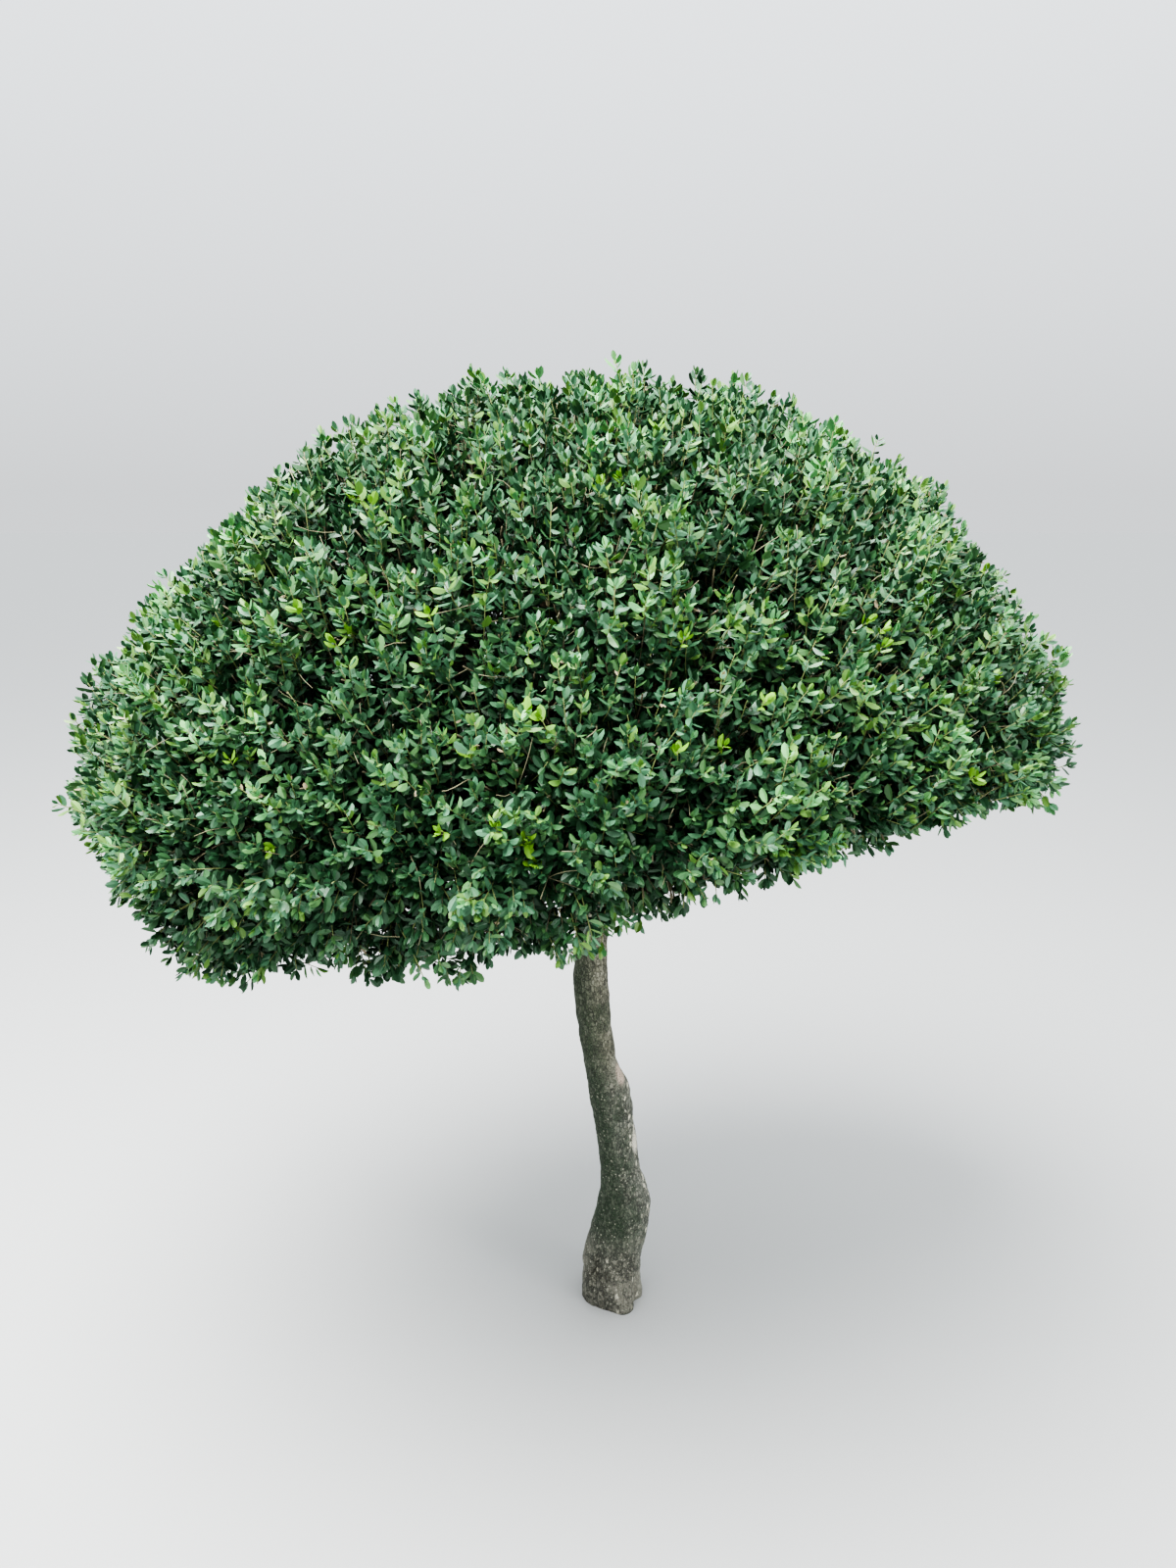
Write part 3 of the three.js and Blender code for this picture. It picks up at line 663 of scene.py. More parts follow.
# The limbs
# A leader that carries on up from the trunk, five boughs that leave the trunk's upper end, and
# seven side boughs that leave those. They are bare, tan with grey and green patches, and end
# inside the head.
LIMB_SEED = 20731
LIMB_WANDER_MM = 26
LIMB_BENDS = [
    # share of the way, share of the lift
    (0.33, 1.0),
    (0.68, 0.8),
]
TIP_SHARE = 0.53
LEADER_SUNK_MM, LEADER_RISE_MM, LEADER_LEAN_MM = 6, 60, 20
LEADER_LAST_MM = np.array([28, -22, 130])
BOUGH_HEIGHTS_MM = [800, 872, 826, 905, 770]
BOUGH_LIFT_MM, SIDE_BOUGH_LIFT_MM = -26, 14
BOUGH_STEPS = 200
SIDE_BOUGH_STARTS = [0.4, 0.56]
LIMB_COLUMNS, LIMB_ROWS = 22, 64
LEADER_RADII, BOUGH_RADII, SIDE_BOUGH_RADII = (17, 9), (15.5, 9), (10, 7)
LIMB_LENGTH_MM, LIMB_GIRTH, LIMB_RELIEF = 420, 0.4, 0.4
LIMB_GREY, LIMB_GREEN, LIMB_SPOTS = (0.40, 0.62), (0.52, 0.34, 0.6), 0.8
LIMB_FINENESS, LIMB_BUMP = 1.5, (0.5, 0.0008)
CURVE_STEPS = 64
STEEP = 0.8
UP = np.array([0.0, 0.0, 1.0])


def random_stream(seed):
    """The same seeded stream of numbers from 0 to 1 as in the part's source (mulberry32)."""
    word = 0xFFFFFFFF
    state = seed & word

    def draw():
        nonlocal state
        state = (state + 0x6D2B79F5) & word
        mixed = ((state ^ (state >> 15)) * (1 | state)) & word
        mixed = ((mixed + (((mixed ^ (mixed >> 7)) * (61 | mixed)) & word)) & word) ^ mixed
        return ((mixed ^ (mixed >> 14)) & word) / 4294967296

    return draw


def curve_through(points, count):
    """count points evenly along a centripetal Catmull-Rom curve through these points. Each end gets
    one more point, mirrored from its neighbour."""
    points = np.asarray(points, dtype=float)
    ends = [2 * points[0] - points[1], *points, 2 * points[-1] - points[-2]]
    t = np.linspace(0, 1, CURVE_STEPS + 1)[:, None]
    pieces = []
    for a, b, c, d in zip(ends, ends[1:], ends[2:], ends[3:]):
        before, here, after = (np.linalg.norm(q - p) ** 0.5 for p, q in ((a, b), (b, c), (c, d)))
        leave = ((b - a) / before - (c - a) / (before + here) + (c - b) / here) * here
        reach = ((c - b) / here - (d - b) / (here + after) + (d - c) / after) * here
        square = -3 * b + 3 * c - 2 * leave - reach
        cube = 2 * b - 2 * c + leave + reach
        pieces.append((b + leave * t + square * t**2 + cube * t**3)[:-1])
    fine = np.concatenate([*pieces, points[-1:]])
    steps = np.linalg.norm(np.diff(fine, axis=0), axis=1)
    length = np.concatenate([[0], np.cumsum(steps)])
    even = np.linspace(0, length[-1], count)
    return np.stack([np.interp(even, length, fine[:, k]) for k in range(3)], axis=-1)


def limb_route(start, tip, lift, draw):
    """From a parent to a tip over two bends, which stray from the straight line."""
    bends = []
    for share, raised in LIMB_BENDS:
        stray = np.array([(draw() - 0.5) * 2 * LIMB_WANDER_MM for _ in range(3)])
        bends.append(start + (tip - start) * share + UP * lift * raised + stray)
    return [start, *bends, tip]


def plan_limbs():
    """Name, points along the route and radii of each limb, in the order of the part's source."""
    draw = random_stream(LIMB_SEED)
    tips = crown_point(SITE_AZIMUTHS, SITE_LATITUDES, TIP_SHARE)
    trunk_top = np.array([*TRUNK_RINGS_MM[-1, 1:3], trunk_top_mm])
    foot = trunk_top - LEADER_SUNK_MM * UP
    rise = foot + LEADER_RISE_MM * UP + LEADER_LEAN_MM * unit(tips[0] - trunk_top)
    route = [foot, rise, tips[0] - LEADER_LAST_MM, tips[0]]
    limbs = [("leader", curve_through(route, LIMB_ROWS), LEADER_RADII)]
    boughs = []
    for i, height in enumerate(BOUGH_HEIGHTS_MM):
        x, y, _ = trunk_at(np.array(float(height)))
        route = limb_route(np.array([x, y, height]), tips[1 + i], BOUGH_LIFT_MM, draw)
        boughs.append(curve_through(route, BOUGH_STEPS + 1))
        limbs.append((f"bough_{i + 1}", curve_through(route, LIMB_ROWS), BOUGH_RADII))
    carried = [0] * UPPER_MASSES
    for i in range(RIM_MASSES):
        apart = rim_azimuths[i] - upper_azimuths
        parent = int(np.argmin(np.abs(np.arctan2(np.sin(apart), np.cos(apart)))))
        start = SIDE_BOUGH_STARTS[carried[parent] % len(SIDE_BOUGH_STARTS)]
        carried[parent] += 1
        at = boughs[parent][round(start * BOUGH_STEPS)]
        route = limb_route(at, tips[1 + UPPER_MASSES + i], SIDE_BOUGH_LIFT_MM, draw)
        limbs.append((f"side_bough_{i + 1}", curve_through(route, LIMB_ROWS), SIDE_BOUGH_RADII))
    return limbs


def tube_rings(points, radii, columns):
    """Rings round many lines at once. points is (lines, rows, 3) and radii (lines, rows, 1 or
    columns). Each ring is a circle across the line there, turned from one fixed direction: upwards,
    or sideways for a steep line."""
    ahead = unit(np.gradient(points, axis=1))
    chord = unit(points[:, -1] - points[:, 0])
    steep = np.abs(chord[:, 2:]) > STEEP
    fixed = np.where(steep, np.array([1.0, 0.0, 0.0]), UP)[:, None, :]
    side = unit(np.cross(ahead, np.broadcast_to(fixed, ahead.shape)))
    above = np.cross(side, ahead)
    turn = np.arange(columns) / columns * 2 * math.pi
    ring = side[:, :, None] * np.cos(turn)[:, None] + above[:, :, None] * np.sin(turn)[:, None]
    return points[:, :, None] - ring * radii[..., None]


def limb_material():
    """Grey-brown bark like the trunk's but smoother, with a little green."""
    material, tree, shader, _, grain = start_bark("limb_bark", 0.85, LIMB_FINENESS)
    mottle = grain.outputs["Mottle"]
    colour = colour_mix(tree, stretch(tree, mottle, *LIMB_GREY), TAN_BARK, GREY_BARK)
    colour = colour_mix(tree, stretch(tree, mottle, *LIMB_GREEN), colour, ALGAE_AND_SHADE_GREEN)
    colour = spotted(tree, grain, colour, LIMB_SPOTS)
    finish_bark(tree, shader, colour, grain, *LIMB_BUMP)
    return material


def limb_radius(radii, share):
    """Tip radius + (foot - tip) * (1 - share)^1.3, in mm."""
    foot, tip = radii
    return tip + (foot - tip) * (1 - share) ** 1.3


limbs = plan_limbs()
limb_bark = limb_material()
limb_random = np.random.default_rng(BARK_SEED + 1)
limb_share = np.linspace(0, 1, LIMB_ROWS)[:, None]
for name, line, radii in limbs:
    relief = bark_relief(LIMB_ROWS, LIMB_COLUMNS, LIMB_LENGTH_MM, LIMB_GIRTH, limb_random)
    full = limb_radius(radii, limb_share) + LIMB_RELIEF * relief
    rings = tube_rings(line[None], full[None], LIMB_COLUMNS)[0]
    points = np.concatenate([rings.reshape(-1, 3), line[[0, -1]]]) / 1000
    limb = mesh_piece(
        f"{name}_bark", points, tube_faces(LIMB_ROWS, LIMB_COLUMNS), limb_bark
    )
    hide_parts(name)
    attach(limb, "root")


# The branches
# What a clipped head is made of inside: from each limb's tip a stem, and on it three orders of
# branches, each ending nearer the surface. They are bare and tan, as little light reaches them.
GROWTH_SEED = 20731
LOWEST_LATITUDE = -1.38
UNDER_DENSITY = 0.62
STEM_SHARE = 0.68
STEM_RADII_MM, STEM_ROWS, STEM_COLUMNS = (6.6, 4.6), 8, 10
STEM_SUNK_MM, STEM_AHEAD_MM = 4, 30
BRANCH_WANDER_MM, BRANCH_STRAY = 9, 0.35
BRANCH_LIGHT, BRANCH_DARK = (0.27, 0.215, 0.135), (0.15, 0.125, 0.085)
BRANCH_PATCHES, BRANCH_FINENESS, BRANCH_BUMP = (0.38, 0.66), 2.5, (0.3, 0.0004)
TWIG_BARK = (0.150, 0.130, 0.080, 1)
BRANCH_ORDERS = [
    # name, how many, share of the head they end at, how far back they start, radii, rows, columns
    ("branches", 96, 0.745, 170, (4.6, 3.0), 8, 7),
    ("small_branches", 520, 0.845, 120, (3.0, 1.9), 6, 6),
    ("twigs", 2800, 0.925, 85, (1.9, 1.1), 5, 4),
]
FOLIAGE_NODES = sorted(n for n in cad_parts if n.startswith("foliage_"))


def even_headings(count, random):
    """Places spread evenly over the head's surface: a golden-angle spiral of headings above the
    lowest latitude, from which each is kept by chance in proportion to the surface that it stands
    for, with fewer inside the lip. Its chance is set against its number times the root of 2, less
    the whole part."""
    spare = 5 * count
    i = np.arange(spare)
    low = math.sin(LOWEST_LATITUDE)
    latitude = np.arcsin(low + (1 - low) * (i + 0.5) / spare)
    azimuth = i * math.pi * (3 - math.sqrt(5))
    _, surface = crown_slopes(azimuth, latitude)
    surface = surface * np.where(latitude < LIP_LATITUDE, UNDER_DENSITY, 1)
    chance = surface / surface.sum() * count
    chosen = (i * math.sqrt(2) + random.random()) % 1 < chance
    return azimuth[chosen], latitude[chosen]


def nearest_of(wanted, choices):
    """For each wanted point the number of the nearest choice, worked out a thousand at a time."""
    found = []
    for part in np.array_split(wanted, max(1, len(wanted) // 1000)):
        square = (choices**2).sum(axis=1)[None] - 2 * part @ choices.T
        found.append(square.argmin(axis=1))
    return np.concatenate(found)


def bent_lines(start, tip, ahead, rows):
    """Lines that start off straight to the tip and arrive along ahead: the quadratic curve
    (1-t)^2 start + 2t(1-t) middle + t^2 tip, whose middle lies back from the tip along ahead."""
    length = np.linalg.norm(tip - start, axis=-1, keepdims=True)
    middle = tip - ahead * length * 0.5
    t = np.linspace(0, 1, rows)[:, None]
    return (
        (1 - t) ** 2 * start[:, None]
        + 2 * t * (1 - t) * middle[:, None]
        + t**2 * tip[:, None]
    )


def joined_tubes(name, lines, radii, columns, material):
    """All lines as one mesh of closed tubes that taper from the first radius to the second."""
    count, rows, _ = lines.shape
    taper = np.linspace(radii[0], radii[1], rows)[None, :, None] * np.ones((count, 1, 1))
    rings = tube_rings(lines, taper, columns).reshape(count, -1, 3)
    points = np.concatenate([rings, lines[:, :1], lines[:, -1:]], axis=1)
    offset = (np.arange(count) * points.shape[1])[:, None, None]
    faces = [(f[None] + offset).reshape(-1, f.shape[1]) for f in tube_faces(rows, columns)]
    return mesh_piece(name, points.reshape(-1, 3) / 1000, faces, material)


def branch_material():
    """Thin smooth bark: light with darker patches and a fine grain."""
    material, tree, shader, _, grain = start_bark("branch_bark", 0.8, BRANCH_FINENESS)
    patchy = stretch(tree, grain.outputs["Mottle"], *BRANCH_PATCHES)
    colour = colour_mix(tree, patchy, BRANCH_LIGHT, BRANCH_DARK)
    finish_bark(tree, shader, colour, grain, *BRANCH_BUMP)
    return material


# A twig is too thin for a pattern to show, so it has one plain colour.
branch_bark = branch_material()
twig_bark, _, _ = principled("twig_bark", Base_Color=TWIG_BARK, Roughness=0.8)
growth = np.random.default_rng(GROWTH_SEED)
limb_tips = np.array([line[-1] for _, line, _ in limbs])
limb_aims = unit(np.array([line[-1] - line[-3] for _, line, _ in limbs]))
stem_tips = crown_point(SITE_AZIMUTHS, SITE_LATITUDES, STEM_SHARE)
stems = np.stack([
    curve_through([tip - STEM_SUNK_MM * aim, tip + STEM_AHEAD_MM * aim, end], STEM_ROWS)
    for tip, aim, end in zip(limb_tips, limb_aims, stem_tips)
])


def dress_foliage(piece):
    """Hides the CAD's foliage masses, for which every branch, twig and leaf piece stands, and puts
    the piece on the root body.
    """
    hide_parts(*FOLIAGE_NODES)
    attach(piece, "root")


dress_foliage(joined_tubes("stems", stems, STEM_RADII_MM, STEM_COLUMNS, branch_bark))
parents = stems
for name, count, share, back, radii, rows, columns in BRANCH_ORDERS:
    azimuth, latitude = even_headings(count, growth)
    outward, _ = crown_slopes(azimuth, latitude)
    stray = growth.uniform(-1, 1, (len(azimuth), 3))
    ends = crown_point(azimuth, latitude, share) + BRANCH_WANDER_MM * stray
    aims = unit(outward + BRANCH_STRAY * growth.uniform(-1, 1, stray.shape))
    choices = parents[:, parents.shape[1] // 3:].reshape(-1, 3)
    starts = choices[nearest_of(ends - back * outward, choices)]
    lines = bent_lines(starts, ends, aims, rows)
    bark = twig_bark if name == "twigs" else branch_bark
    dress_foliage(joined_tubes(name, lines, radii, columns, bark))
    deeper_wood = choices
    parents = lines


# The shoots and their leaves
# The clipped surface itself: short green shoots of the last two years, each with crossed pairs of
# small oval leaves that are widest in the middle, a little arched, and packed closer at the tip.
SHOOTS = 9600
INNER_SHOOTS, INNER_DEPTHS_MM = 3800, (40, 150)
# A share of the shoots ends at the surface, the rest that much below it. Another share ends deeper
# still, and a few stand out.
SURFACE_SHARE, BELOW_MM = 0.5, (8, 48)
DEEPER_SHARE, DEEPER_MM = 0.14, (20, 55)
LONG_SHARE, LONG_MM = 0.018, (10, 26)
ROUGHNESS_MM = 6.5
SHOOT_BACK_MM = 84
SHOOT_RADII_MM = (1.05, 0.55)
SHOOT_STEPS = 12
SHOOT_ROWS, SHOOT_COLUMNS = 3, 3
SHOOT_BARK = (0.210, 0.240, 0.090, 1)
# How far a shoot turns upwards, from the underside to the top, and how far it strays.
UPWARD_LEAST, UPWARD_MORE = 0.10, 0.55
SHOOT_STRAY = 0.36
BARE_TWIGS, BARE_DEPTHS_MM, BARE_BACK_MM = 1500, (10, 45), 40
BARE_STRAY = 0.8
BARE_RADII_MM, BARE_ROWS, BARE_COLUMNS = (0.8, 0.5), 4, 3
BLEACHED_BARK = (0.26, 0.24, 0.15, 1)
PAIRS = [
    # back from the shoot's tip in mm, angle off the shoot in radians, size
    (0.0, 0.28, 0.66),
    (4.0, 0.50, 0.86),
    (10.5, 0.68, 0.98),
    (19.0, 0.84, 1.04),
    (29.0, 0.98, 1.04),
    (40.0, 1.08, 1.00),
    (52.0, 1.14, 0.94),
    (65.0, 1.20, 0.88),
]
PAIR_SPREAD = (0.85, 1.2)
INNER_PAIRS = 5
LEAFLESS_SHARE = 0.12
LEAF_CHANCE = 0.95
LEAF_MM, INNER_LEAF = 18, 1.3
LEAF_WIDE, LEAF_FOLD, LEAF_DROOP = 0.52, 0.28, 0.14
LEAF_SIZE_STRAY, LEAF_SIZES = 0.13, (0.65, 1.3)
LEAF_STALK_MM = 0.6
TIP_LEAF_SHARE = 0.75
# How far a leaf strays from its angle, from its side of the shoot and from its facing, and how far
# it turns its face to the sky.
ANGLE_STRAY, SIDE_STRAY, FACE_STRAY = 0.26, 0.3, 0.42
SKYWARD, SKYWARD_BENEATH = 0.45, 1.3
LUMP_WAVES = 14
LUMP_MM = 4.2
LUMP_LENGTHS_MM = (95, 240)

# Where the shears left the head fuller or cut it closer.
CUTS = [
    # azimuth, latitude, size in mm, spread in radians
    (-1.00, 1.46, -22, 0.22),
    (-2.93, 1.02, 30, 0.20),
    (-2.98, 0.76, -22, 0.12),
    (-3.10, 0.32, 34, 0.13),
    (-0.44, 0.41, -5, 0.12),
    (-1.05, -0.40, -8, 0.16),
    (-1.28, -0.57, -40, 0.14),
    (-1.62, -0.62, -14, 0.08),
    (-1.95, -0.60, 28, 0.32),
    (-2.75, -0.48, 20, 0.12),
    (-2.50, 1.48, -14, 0.12),
    (-0.41, 1.20, 16, 0.30),
    (-0.24, 0.96, -14, 0.14),
    (-0.75, -0.15, 18, 0.14),
    (-0.50, 0.08, -12, 0.08),
    (-1.00, -0.32, 12, 0.12),
    (-2.30, -0.60, -8, 0.12),
    (-1.87, -0.61, 16, 0.06),
    (-2.90, 1.36, 10, 0.20),
    (-2.92, -0.04, -8, 0.10),
]

# Shoots that the shears missed, which stand out of the head.
SPRIGS = [
    # azimuth, latitude, how far out in mm
    (-1.90, 1.51, 22),
    (-0.40, 1.23, 22),
    (-0.20, 0.77, 20),
    (-0.44, 0.41, 24),
    (-0.55, -0.02, 30),
    (-1.97, -0.61, 10),
    (-1.26, -0.57, 24),
    (-2.78, -0.45, 8),
]

# Where this year's yellow-green growth shows in patches.
YOUNG_PATCHES = [
    # azimuth, latitude, spread in radians
    (-1.81, 0.04, 0.070),
    (-1.84, 0.14, 0.040),
    (-1.94, 0.07, 0.030),
    (-1.52, 0.49, 0.045),
    (-1.51, 0.30, 0.040),
    (-1.75, 0.35, 0.050),
    (-1.89, 0.27, 0.030),
    (-1.40, 0.31, 0.030),
    (-2.20, 0.52, 0.035),
    (-1.13, 0.46, 0.035),
    (-1.64, 0.90, 0.030),
    (0.40, 0.30, 0.060),
    (1.60, 0.55, 0.070),
    (2.50, 0.10, 0.060),
]

# One side of a leaf: how far along and how far across. A shaded leaf has a simpler one.
LEAF_SIDE = [(0.19, 0.66), (0.52, 1.0), (0.83, 0.70)]
SHADED_SIDE = [(0.30, 0.90), (0.74, 0.84)]


def leaf_outline(side):
    """The base of a leaf, its right side, its tip, and its left side back from there."""
    back = [(along, -across) for along, across in reversed(side)]
    return [(0.0, 0.0), *side, (1.0, 0.0), *back]


# Of each kind of leaf its points, its triangles, and which of its points lie on the midrib. A lit
# leaf is a fan of eight round the middle of its midrib, a shaded one a fan of four round its base.
LIT_OUTLINE = np.array([*leaf_outline(LEAF_SIDE), (0.5, 0.0)])
CENTRE = len(LIT_OUTLINE) - 1
LIT_FAN = np.array([(CENTRE, i, (i + 1) % CENTRE) for i in range(CENTRE)])
SHADED_OUTLINE = np.array(leaf_outline(SHADED_SIDE))
SHADED_FAN = np.array([(0, i, i + 1) for i in range(1, len(SHADED_OUTLINE) - 1)])
LEAF_KINDS = [
    (LIT_OUTLINE, LIT_FAN, LIT_OUTLINE[:, 1] == 0),
    (SHADED_OUTLINE, SHADED_FAN, SHADED_OUTLINE[:, 1] == 0),
]


def surface_lumps(points, random):
    """How far in mm the clipped surface stands out at each point: a sum of plane waves, each with a
    random direction, length and start."""
    total = np.zeros(len(points))
    for _ in range(LUMP_WAVES):
        way = unit(random.normal(size=3))
        length = random.uniform(*LUMP_LENGTHS_MM)
        total += np.sin(points @ way * 2 * math.pi / length + random.uniform(0, 2 * math.pi))
    return LUMP_MM * total


def near_heading(azimuth, latitude, at_azimuth, at_latitude, spread):
    """exp(-(angle from one heading / spread)^2) at each of many headings."""
    cosine = heading(azimuth, latitude) @ heading(at_azimuth, at_latitude)
    return np.exp(-((np.arccos(np.clip(cosine, -1, 1)) / spread) ** 2))


def clipping(azimuth, latitude):
    """Sum over the cuts of their sizes in mm, each times the nearness of its heading."""
    total = np.zeros(len(azimuth))
    for cut_azimuth, cut_latitude, size, spread in CUTS:
        total += size * near_heading(azimuth, latitude, cut_azimuth, cut_latitude, spread)
    return total


def bare_lines(choices, random):
    """Twigs cut back by the shears that have died off, bleached and leafless. Each runs from the
    choice nearest to a place back from its tip."""
    azimuth, latitude = even_headings(BARE_TWIGS, random)
    outward, _ = crown_slopes(azimuth, latitude)
    depth = random.uniform(*BARE_DEPTHS_MM, len(azimuth)) - clipping(azimuth, latitude)
    tips = crown_point(azimuth, latitude, 1) - outward * depth[:, None]
    aims = unit(outward + BARE_STRAY * random.uniform(-1, 1, tips.shape))
    starts = choices[nearest_of(tips - BARE_BACK_MM * aims, choices)]
    return bent_lines(starts, tips, aims, BARE_ROWS)


def square_to(vectors, axes):
    """The unit vectors left when each vector loses its part along its axis."""
    return unit(vectors - axes * (vectors * axes).sum(axis=1, keepdims=True))


def leaf_points(outline, roots, along, face, size):
    """(leaves, outline, 3) points. Each leaf runs from its root along a direction and is as wide as
    its outline. It sags by the way across times its fold, and by the square of the way along times
    its droop."""
    across = unit(np.cross(face, along))
    above = np.cross(along, across)
    u, v = outline.T
    length = LEAF_MM * size[:, None]
    wide = 0.5 * LEAF_WIDE * length * v
    sag = -length * (LEAF_WIDE * LEAF_FOLD * np.abs(v) + LEAF_DROOP * u**2)
    return (
        roots[:, None]
        + along[:, None] * (length * u)[..., None]
        + across[:, None] * wide[..., None]
        + above[:, None] * sag[..., None]
    )


def joined_leaves(name, sets, material):
    """All leaves as one mesh: the lit set and then the shaded one. The midrib of each leaf, where
    both ends of an edge lie on it, is a sharp crease."""
    points, faces, on_rib, before = [], [], [], 0
    for leaves, (_, fan, rib) in zip(sets, LEAF_KINDS):
        start = before + np.arange(len(leaves)) * len(rib)
        faces.append((fan + start[:, None, None]).reshape(-1, 3))
        points.append(leaves.reshape(-1, 3))
        on_rib.append(np.tile(rib, len(leaves)))
        before += len(leaves) * len(rib)
    piece = mesh_piece(name, np.concatenate(points) / 1000, faces, material)
    ends = np.empty(2 * len(piece.data.edges), dtype=np.int32)
    piece.data.edges.foreach_get("vertices", ends)
    creased = np.concatenate(on_rib)[ends.reshape(-1, 2)].all(axis=1)
    piece.data.edges.foreach_set("use_edge_sharp", creased)
    return piece


outer = even_headings(SHOOTS, growth)
inner = even_headings(INNER_SHOOTS, growth)
azimuth, latitude = (np.concatenate(pair) for pair in zip(outer, inner))
shoots = len(azimuth)
inside = np.arange(shoots) >= len(outer[0])
outward, _ = crown_slopes(azimuth, latitude)
surface = crown_point(azimuth, latitude, 1)
waves = surface_lumps(surface, growth)
buried = np.where(growth.random(shoots) < SURFACE_SHARE, 0, growth.uniform(*BELOW_MM, shoots))
buried += np.where(growth.random(shoots) < DEEPER_SHARE, growth.uniform(*DEEPER_MM, shoots), 0)
buried[inside] = growth.uniform(*INNER_DEPTHS_MM, inside.sum())
rough = growth.normal(0, ROUGHNESS_MM, shoots)
long_ones = np.where(growth.random(shoots) < LONG_SHARE, growth.uniform(*LONG_MM, shoots), 0)
buried[~inside & (long_ones > 0)] = 0
for sprig_azimuth, sprig_latitude, out in SPRIGS:
    near = heading(azimuth, latitude) @ heading(sprig_azimuth, sprig_latitude)
    sprig = np.argmax(np.where(inside, -1, near))
    buried[sprig] = 0
    rough[sprig] = 0
    long_ones[sprig] = out
upward = (UPWARD_LEAST + UPWARD_MORE * np.clip(2 * np.sin(latitude) + 0.5, 0, 1))[:, None]
beneath = latitude < LIP_LATITUDE
upward[beneath] = UPWARD_LEAST + UPWARD_MORE
aims = unit(outward + UP * upward + SHOOT_STRAY * growth.uniform(-1, 1, (shoots, 3)))
reach = waves + clipping(azimuth, latitude) + rough + long_ones - buried
tips = surface + outward * (reach - TIP_LEAF_SHARE * LEAF_MM)[:, None]
choices = parents[:, 2:].reshape(-1, 3)
starts = choices[nearest_of(tips - SHOOT_BACK_MM * aims, choices)]
starts[inside] = deeper_wood[nearest_of((tips - SHOOT_BACK_MM * aims)[inside], deeper_wood)]
shoot_lines = bent_lines(starts, tips, aims, SHOOT_STEPS + 1)
shoot_bark, _, _ = principled("shoot_bark", Base_Color=SHOOT_BARK, Roughness=0.8)
shoot_mesh_rows = np.linspace(0, SHOOT_STEPS, SHOOT_ROWS).round().astype(int)
for name, part, bark in (
    ("shoots", (buried == 0) & ~beneath, shoot_bark),
    ("inner_shoots", (buried > 0) | beneath, twig_bark),
):
    lines = shoot_lines[part][:, shoot_mesh_rows]
    dress_foliage(joined_tubes(name, lines, SHOOT_RADII_MM, SHOOT_COLUMNS, bark))

bleached, _, _ = principled("bleached_bark", Base_Color=BLEACHED_BARK, Roughness=0.85)
dead_lines = bare_lines(choices, growth)
bare_twigs = joined_tubes("bare_twigs", dead_lines, BARE_RADII_MM, BARE_COLUMNS, bleached)
dress_foliage(bare_twigs)

# Each pair of leaves sits square to the one before it, some way back from its shoot's tip.
shoot_length = np.linalg.norm(np.diff(shoot_lines, axis=1), axis=-1).sum(axis=1)
skyward = np.where(beneath, SKYWARD_BENEATH, SKYWARD)[:, None]
side = unit(np.cross(growth.normal(size=(shoots, 3)), aims))
each = np.arange(shoots)
leaves = []
for order, (back, lean, size) in enumerate(PAIRS):
    stretched = back * growth.uniform(*PAIR_SPREAD, shoots)
    share = 1 - stretched / shoot_length
    row = np.clip(share, 0, 1) * SHOOT_STEPS
    low = np.minimum(row.astype(int), SHOOT_STEPS - 1)
    part = (row - low)[:, None]
    at = shoot_lines[each, low] * (1 - part) + shoot_lines[each, low + 1] * part
    stem = unit(shoot_lines[each, low + 1] - shoot_lines[each, low])
    side = square_to(side, stem)
    leafy = (share > LEAFLESS_SHARE) & ~(inside & (order >= INNER_PAIRS))
    for hand in (1, -1):
        angle = (lean + growth.normal(0, ANGLE_STRAY, shoots))[:, None]
        away = unit(hand * side + SIDE_STRAY * growth.normal(size=(shoots, 3)))
        away = square_to(away, stem)
        along = np.cos(angle) * stem + np.sin(angle) * away
        face = unit(stem + skyward * UP + FACE_STRAY * growth.normal(size=(shoots, 3)))
        kept = leafy & (growth.random(shoots) < LEAF_CHANCE)
        grown = size * growth.normal(1, LEAF_SIZE_STRAY, shoots).clip(*LEAF_SIZES)
        grown = grown * np.where(inside, INNER_LEAF, 1)
        root = at + away * LEAF_STALK_MM
        one_side = (root, along, face, grown, each, np.full(shoots, order))
        leaves.append([values[kept] for values in one_side])
    side = np.cross(stem, side)
roots, alongs, faces, sizes, owners, orders = (np.concatenate(a) for a in zip(*leaves))

# Leaves that would touch the trunk or a limb aren't grown.
LEAF_CLEARANCE_MM = 3
STATION_GAP_MM, TRUNK_EXTRA_MM = 12.0, 4
stations = np.concatenate([line[::4] for _, line, _ in limbs])
station_radii = np.concatenate([limb_radius(radii, limb_share[::4, 0]) for _, _, radii in limbs])
trunk_heights = np.arange(0, trunk_top_mm, STATION_GAP_MM)
trunk_x, trunk_y, trunk_r = trunk_at(trunk_heights)
stations = np.concatenate([stations, np.stack([trunk_x, trunk_y, trunk_heights], axis=-1)])
station_radii = np.concatenate([station_radii, trunk_r + TRUNK_EXTRA_MM])
middles = roots + alongs * (0.5 * LEAF_MM * sizes)[:, None]
near = nearest_of(middles, stations)
gap = np.linalg.norm(middles - stations[near], axis=1) - station_radii[near]
clear = gap > 0.5 * LEAF_MM + LEAF_CLEARANCE_MM
roots, alongs, faces, sizes, owners, orders = (
    a[clear] for a in (roots, alongs, faces, sizes, owners, orders)
)

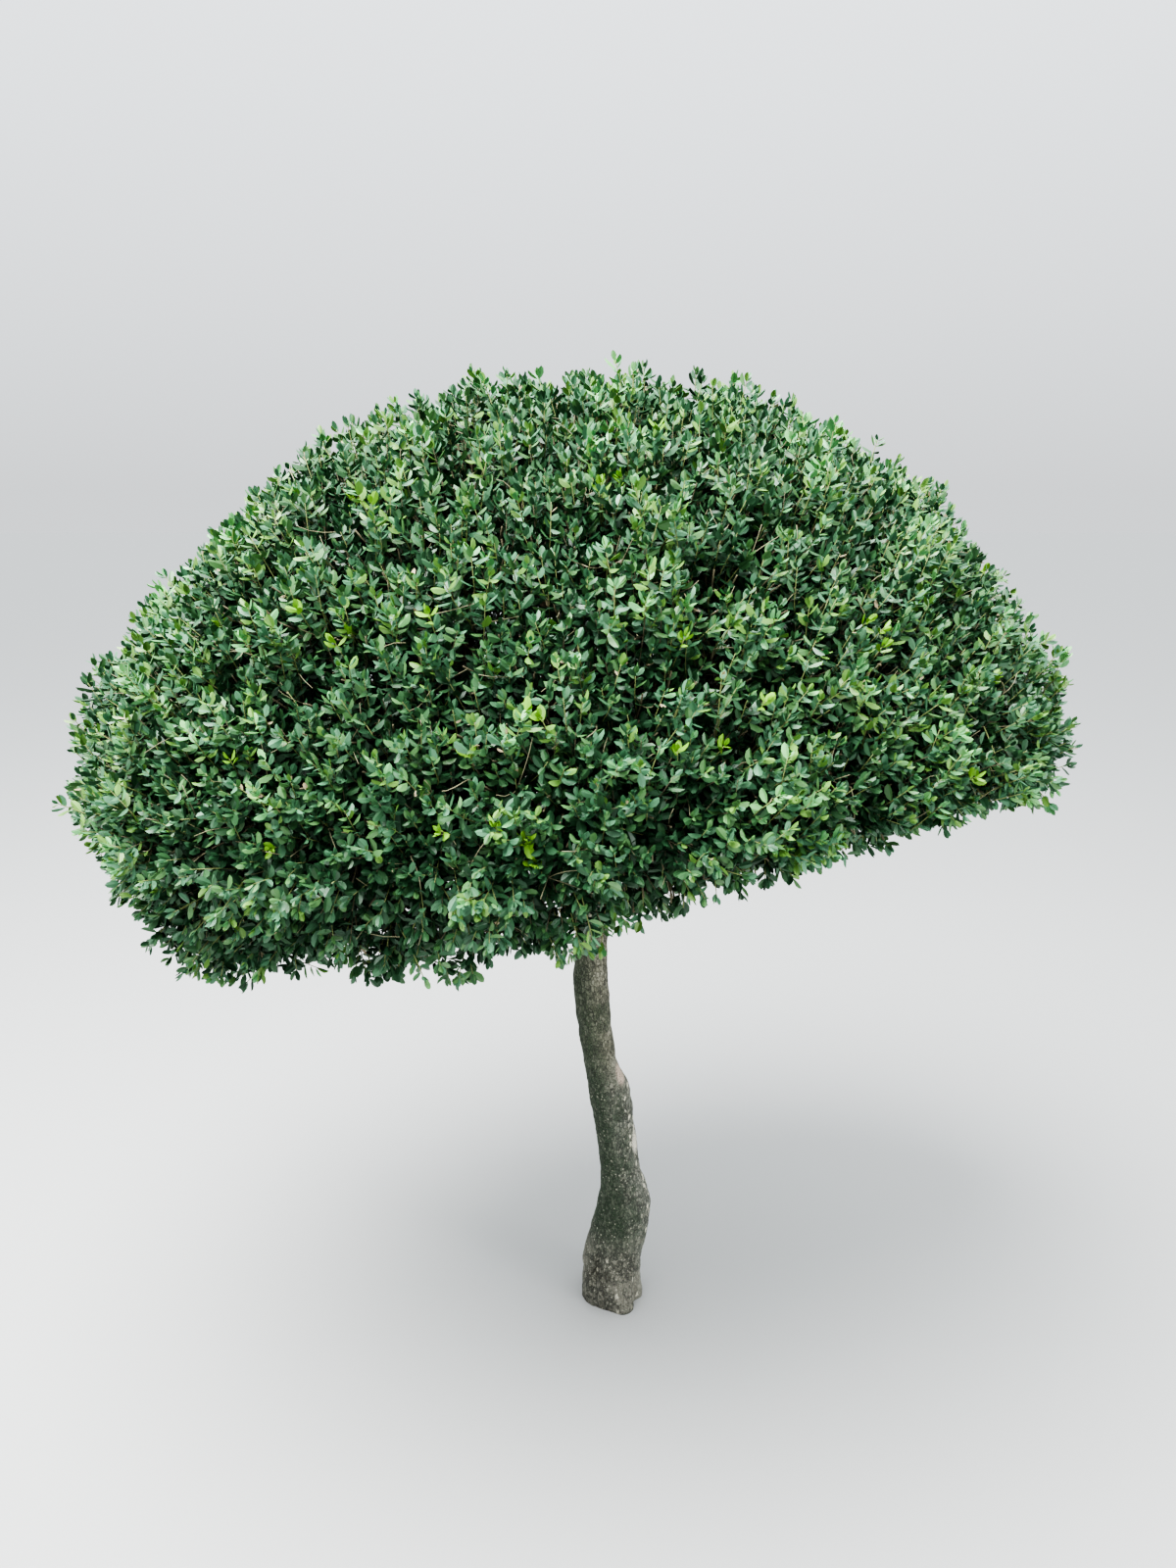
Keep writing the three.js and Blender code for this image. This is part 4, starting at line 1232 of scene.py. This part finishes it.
# Tints from the darkest old leaves to the palest young ones, then new growth and dead leaves. A
# leaf has its shoot's tint, which is darker for a shoot below the surface, partly as older shade
# leaves are and partly as painted shade, and darker low on the head as painted shade. It gets
# darker for each pair back from the tip. A tint with more leaves than one piece may hold is cut
# into pieces along the head.
PIECE_TRIANGLES = 190_000
MIDDLE_TINT, TINT_BY_SHOOT, TINT_BY_LEAF, TINT_BY_WAVE = 3.4, 1.15, 0.95, 0.09
BELOW_SHADE_TINT, DEEP_SHADE_TINT, DEEP_MM = 1.6, 1.2, 28
LOW_SHADE_TINT, LOW_SHADE_FROM, LOW_SHADE_OVER = 1.3, 0.2, 0.6
PAIR_TINT, LIT_PAIRS = 0.5, 5
YOUNG_ANYWHERE, YOUNG_IN_PATCH, YOUNG_PAIRS = 0.006, 0.65, 3
DEAD_LIT, DEAD_SHADED, DEAD_SIZE = 0.010, 0.003, 0.6
LEAF_TINTS = [
    ("deep", (0.025, 0.072, 0.032)),
    ("dark", (0.050, 0.124, 0.051)),
    ("shade", (0.058, 0.139, 0.071)),
    ("middle", (0.092, 0.200, 0.074)),
    ("bluish", (0.080, 0.192, 0.106)),
    ("fresh", (0.145, 0.280, 0.066)),
    ("light", (0.116, 0.304, 0.120)),
    ("pale", (0.168, 0.390, 0.144)),
    ("new", (0.180, 0.365, 0.044)),
    ("dead", (0.470, 0.380, 0.250)),
]
NEW, DEAD = 8, 9
by_shoot = MIDDLE_TINT + TINT_BY_SHOOT * growth.normal(size=shoots) + TINT_BY_WAVE * waves
# Partly painted shade: a shoot below the surface is darker, as an older shade leaf is too.
by_shoot -= BELOW_SHADE_TINT * (buried > 0) + DEEP_SHADE_TINT * (buried > DEEP_MM)
# Painted shade: a shoot low on the head is darker.
by_shoot -= LOW_SHADE_TINT * np.clip((LOW_SHADE_FROM - latitude) / LOW_SHADE_OVER, 0, 1) * ~inside
lit = (buried == 0)[owners] & (orders < LIT_PAIRS)
tint = by_shoot[owners] - PAIR_TINT * np.maximum(orders - 1, 0)
tint += TINT_BY_LEAF * growth.normal(size=len(owners))
tint = np.clip(np.round(tint), 0, NEW - 1).astype(int)
young = np.full(shoots, YOUNG_ANYWHERE)
for patch in YOUNG_PATCHES:
    young = np.maximum(young, YOUNG_IN_PATCH * near_heading(azimuth, latitude, *patch))
tint[(growth.random(shoots) < young)[owners] & (orders < YOUNG_PAIRS) & lit] = NEW
dead = growth.random(len(owners)) < np.where(lit, DEAD_LIT, DEAD_SHADED)
tint[dead] = DEAD
sizes[dead] *= DEAD_SIZE
for number, (name, colour) in enumerate(LEAF_TINTS):
    material, _, _ = principled(
        f"leaf_{name}", Base_Color=(*colour, 1), Roughness=0.38, Specular_IOR_Level=0.42
    )
    of_tint = [np.flatnonzero(kind & (tint == number)) for kind in (lit, ~lit)]
    triangles = sum(len(fan) * len(own) for own, (_, fan, _) in zip(of_tint, LEAF_KINDS))
    pieces = math.ceil(triangles / PIECE_TRIANGLES)
    for piece in range(pieces):
        sets = []
        for own, (outline, _, _) in zip(of_tint, LEAF_KINDS):
            along_head = own[np.argsort(roots[own, 0])]
            part = np.array_split(along_head, pieces)[piece]
            sets.append(leaf_points(outline, roots[part], alongs[part], faces[part], sizes[part]))
        label = f"leaves_{name}_{piece + 1}" if pieces > 1 else f"leaves_{name}"
        dress_foliage(joined_leaves(label, sets, material))


# The size of the dressed plant.
low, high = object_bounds()
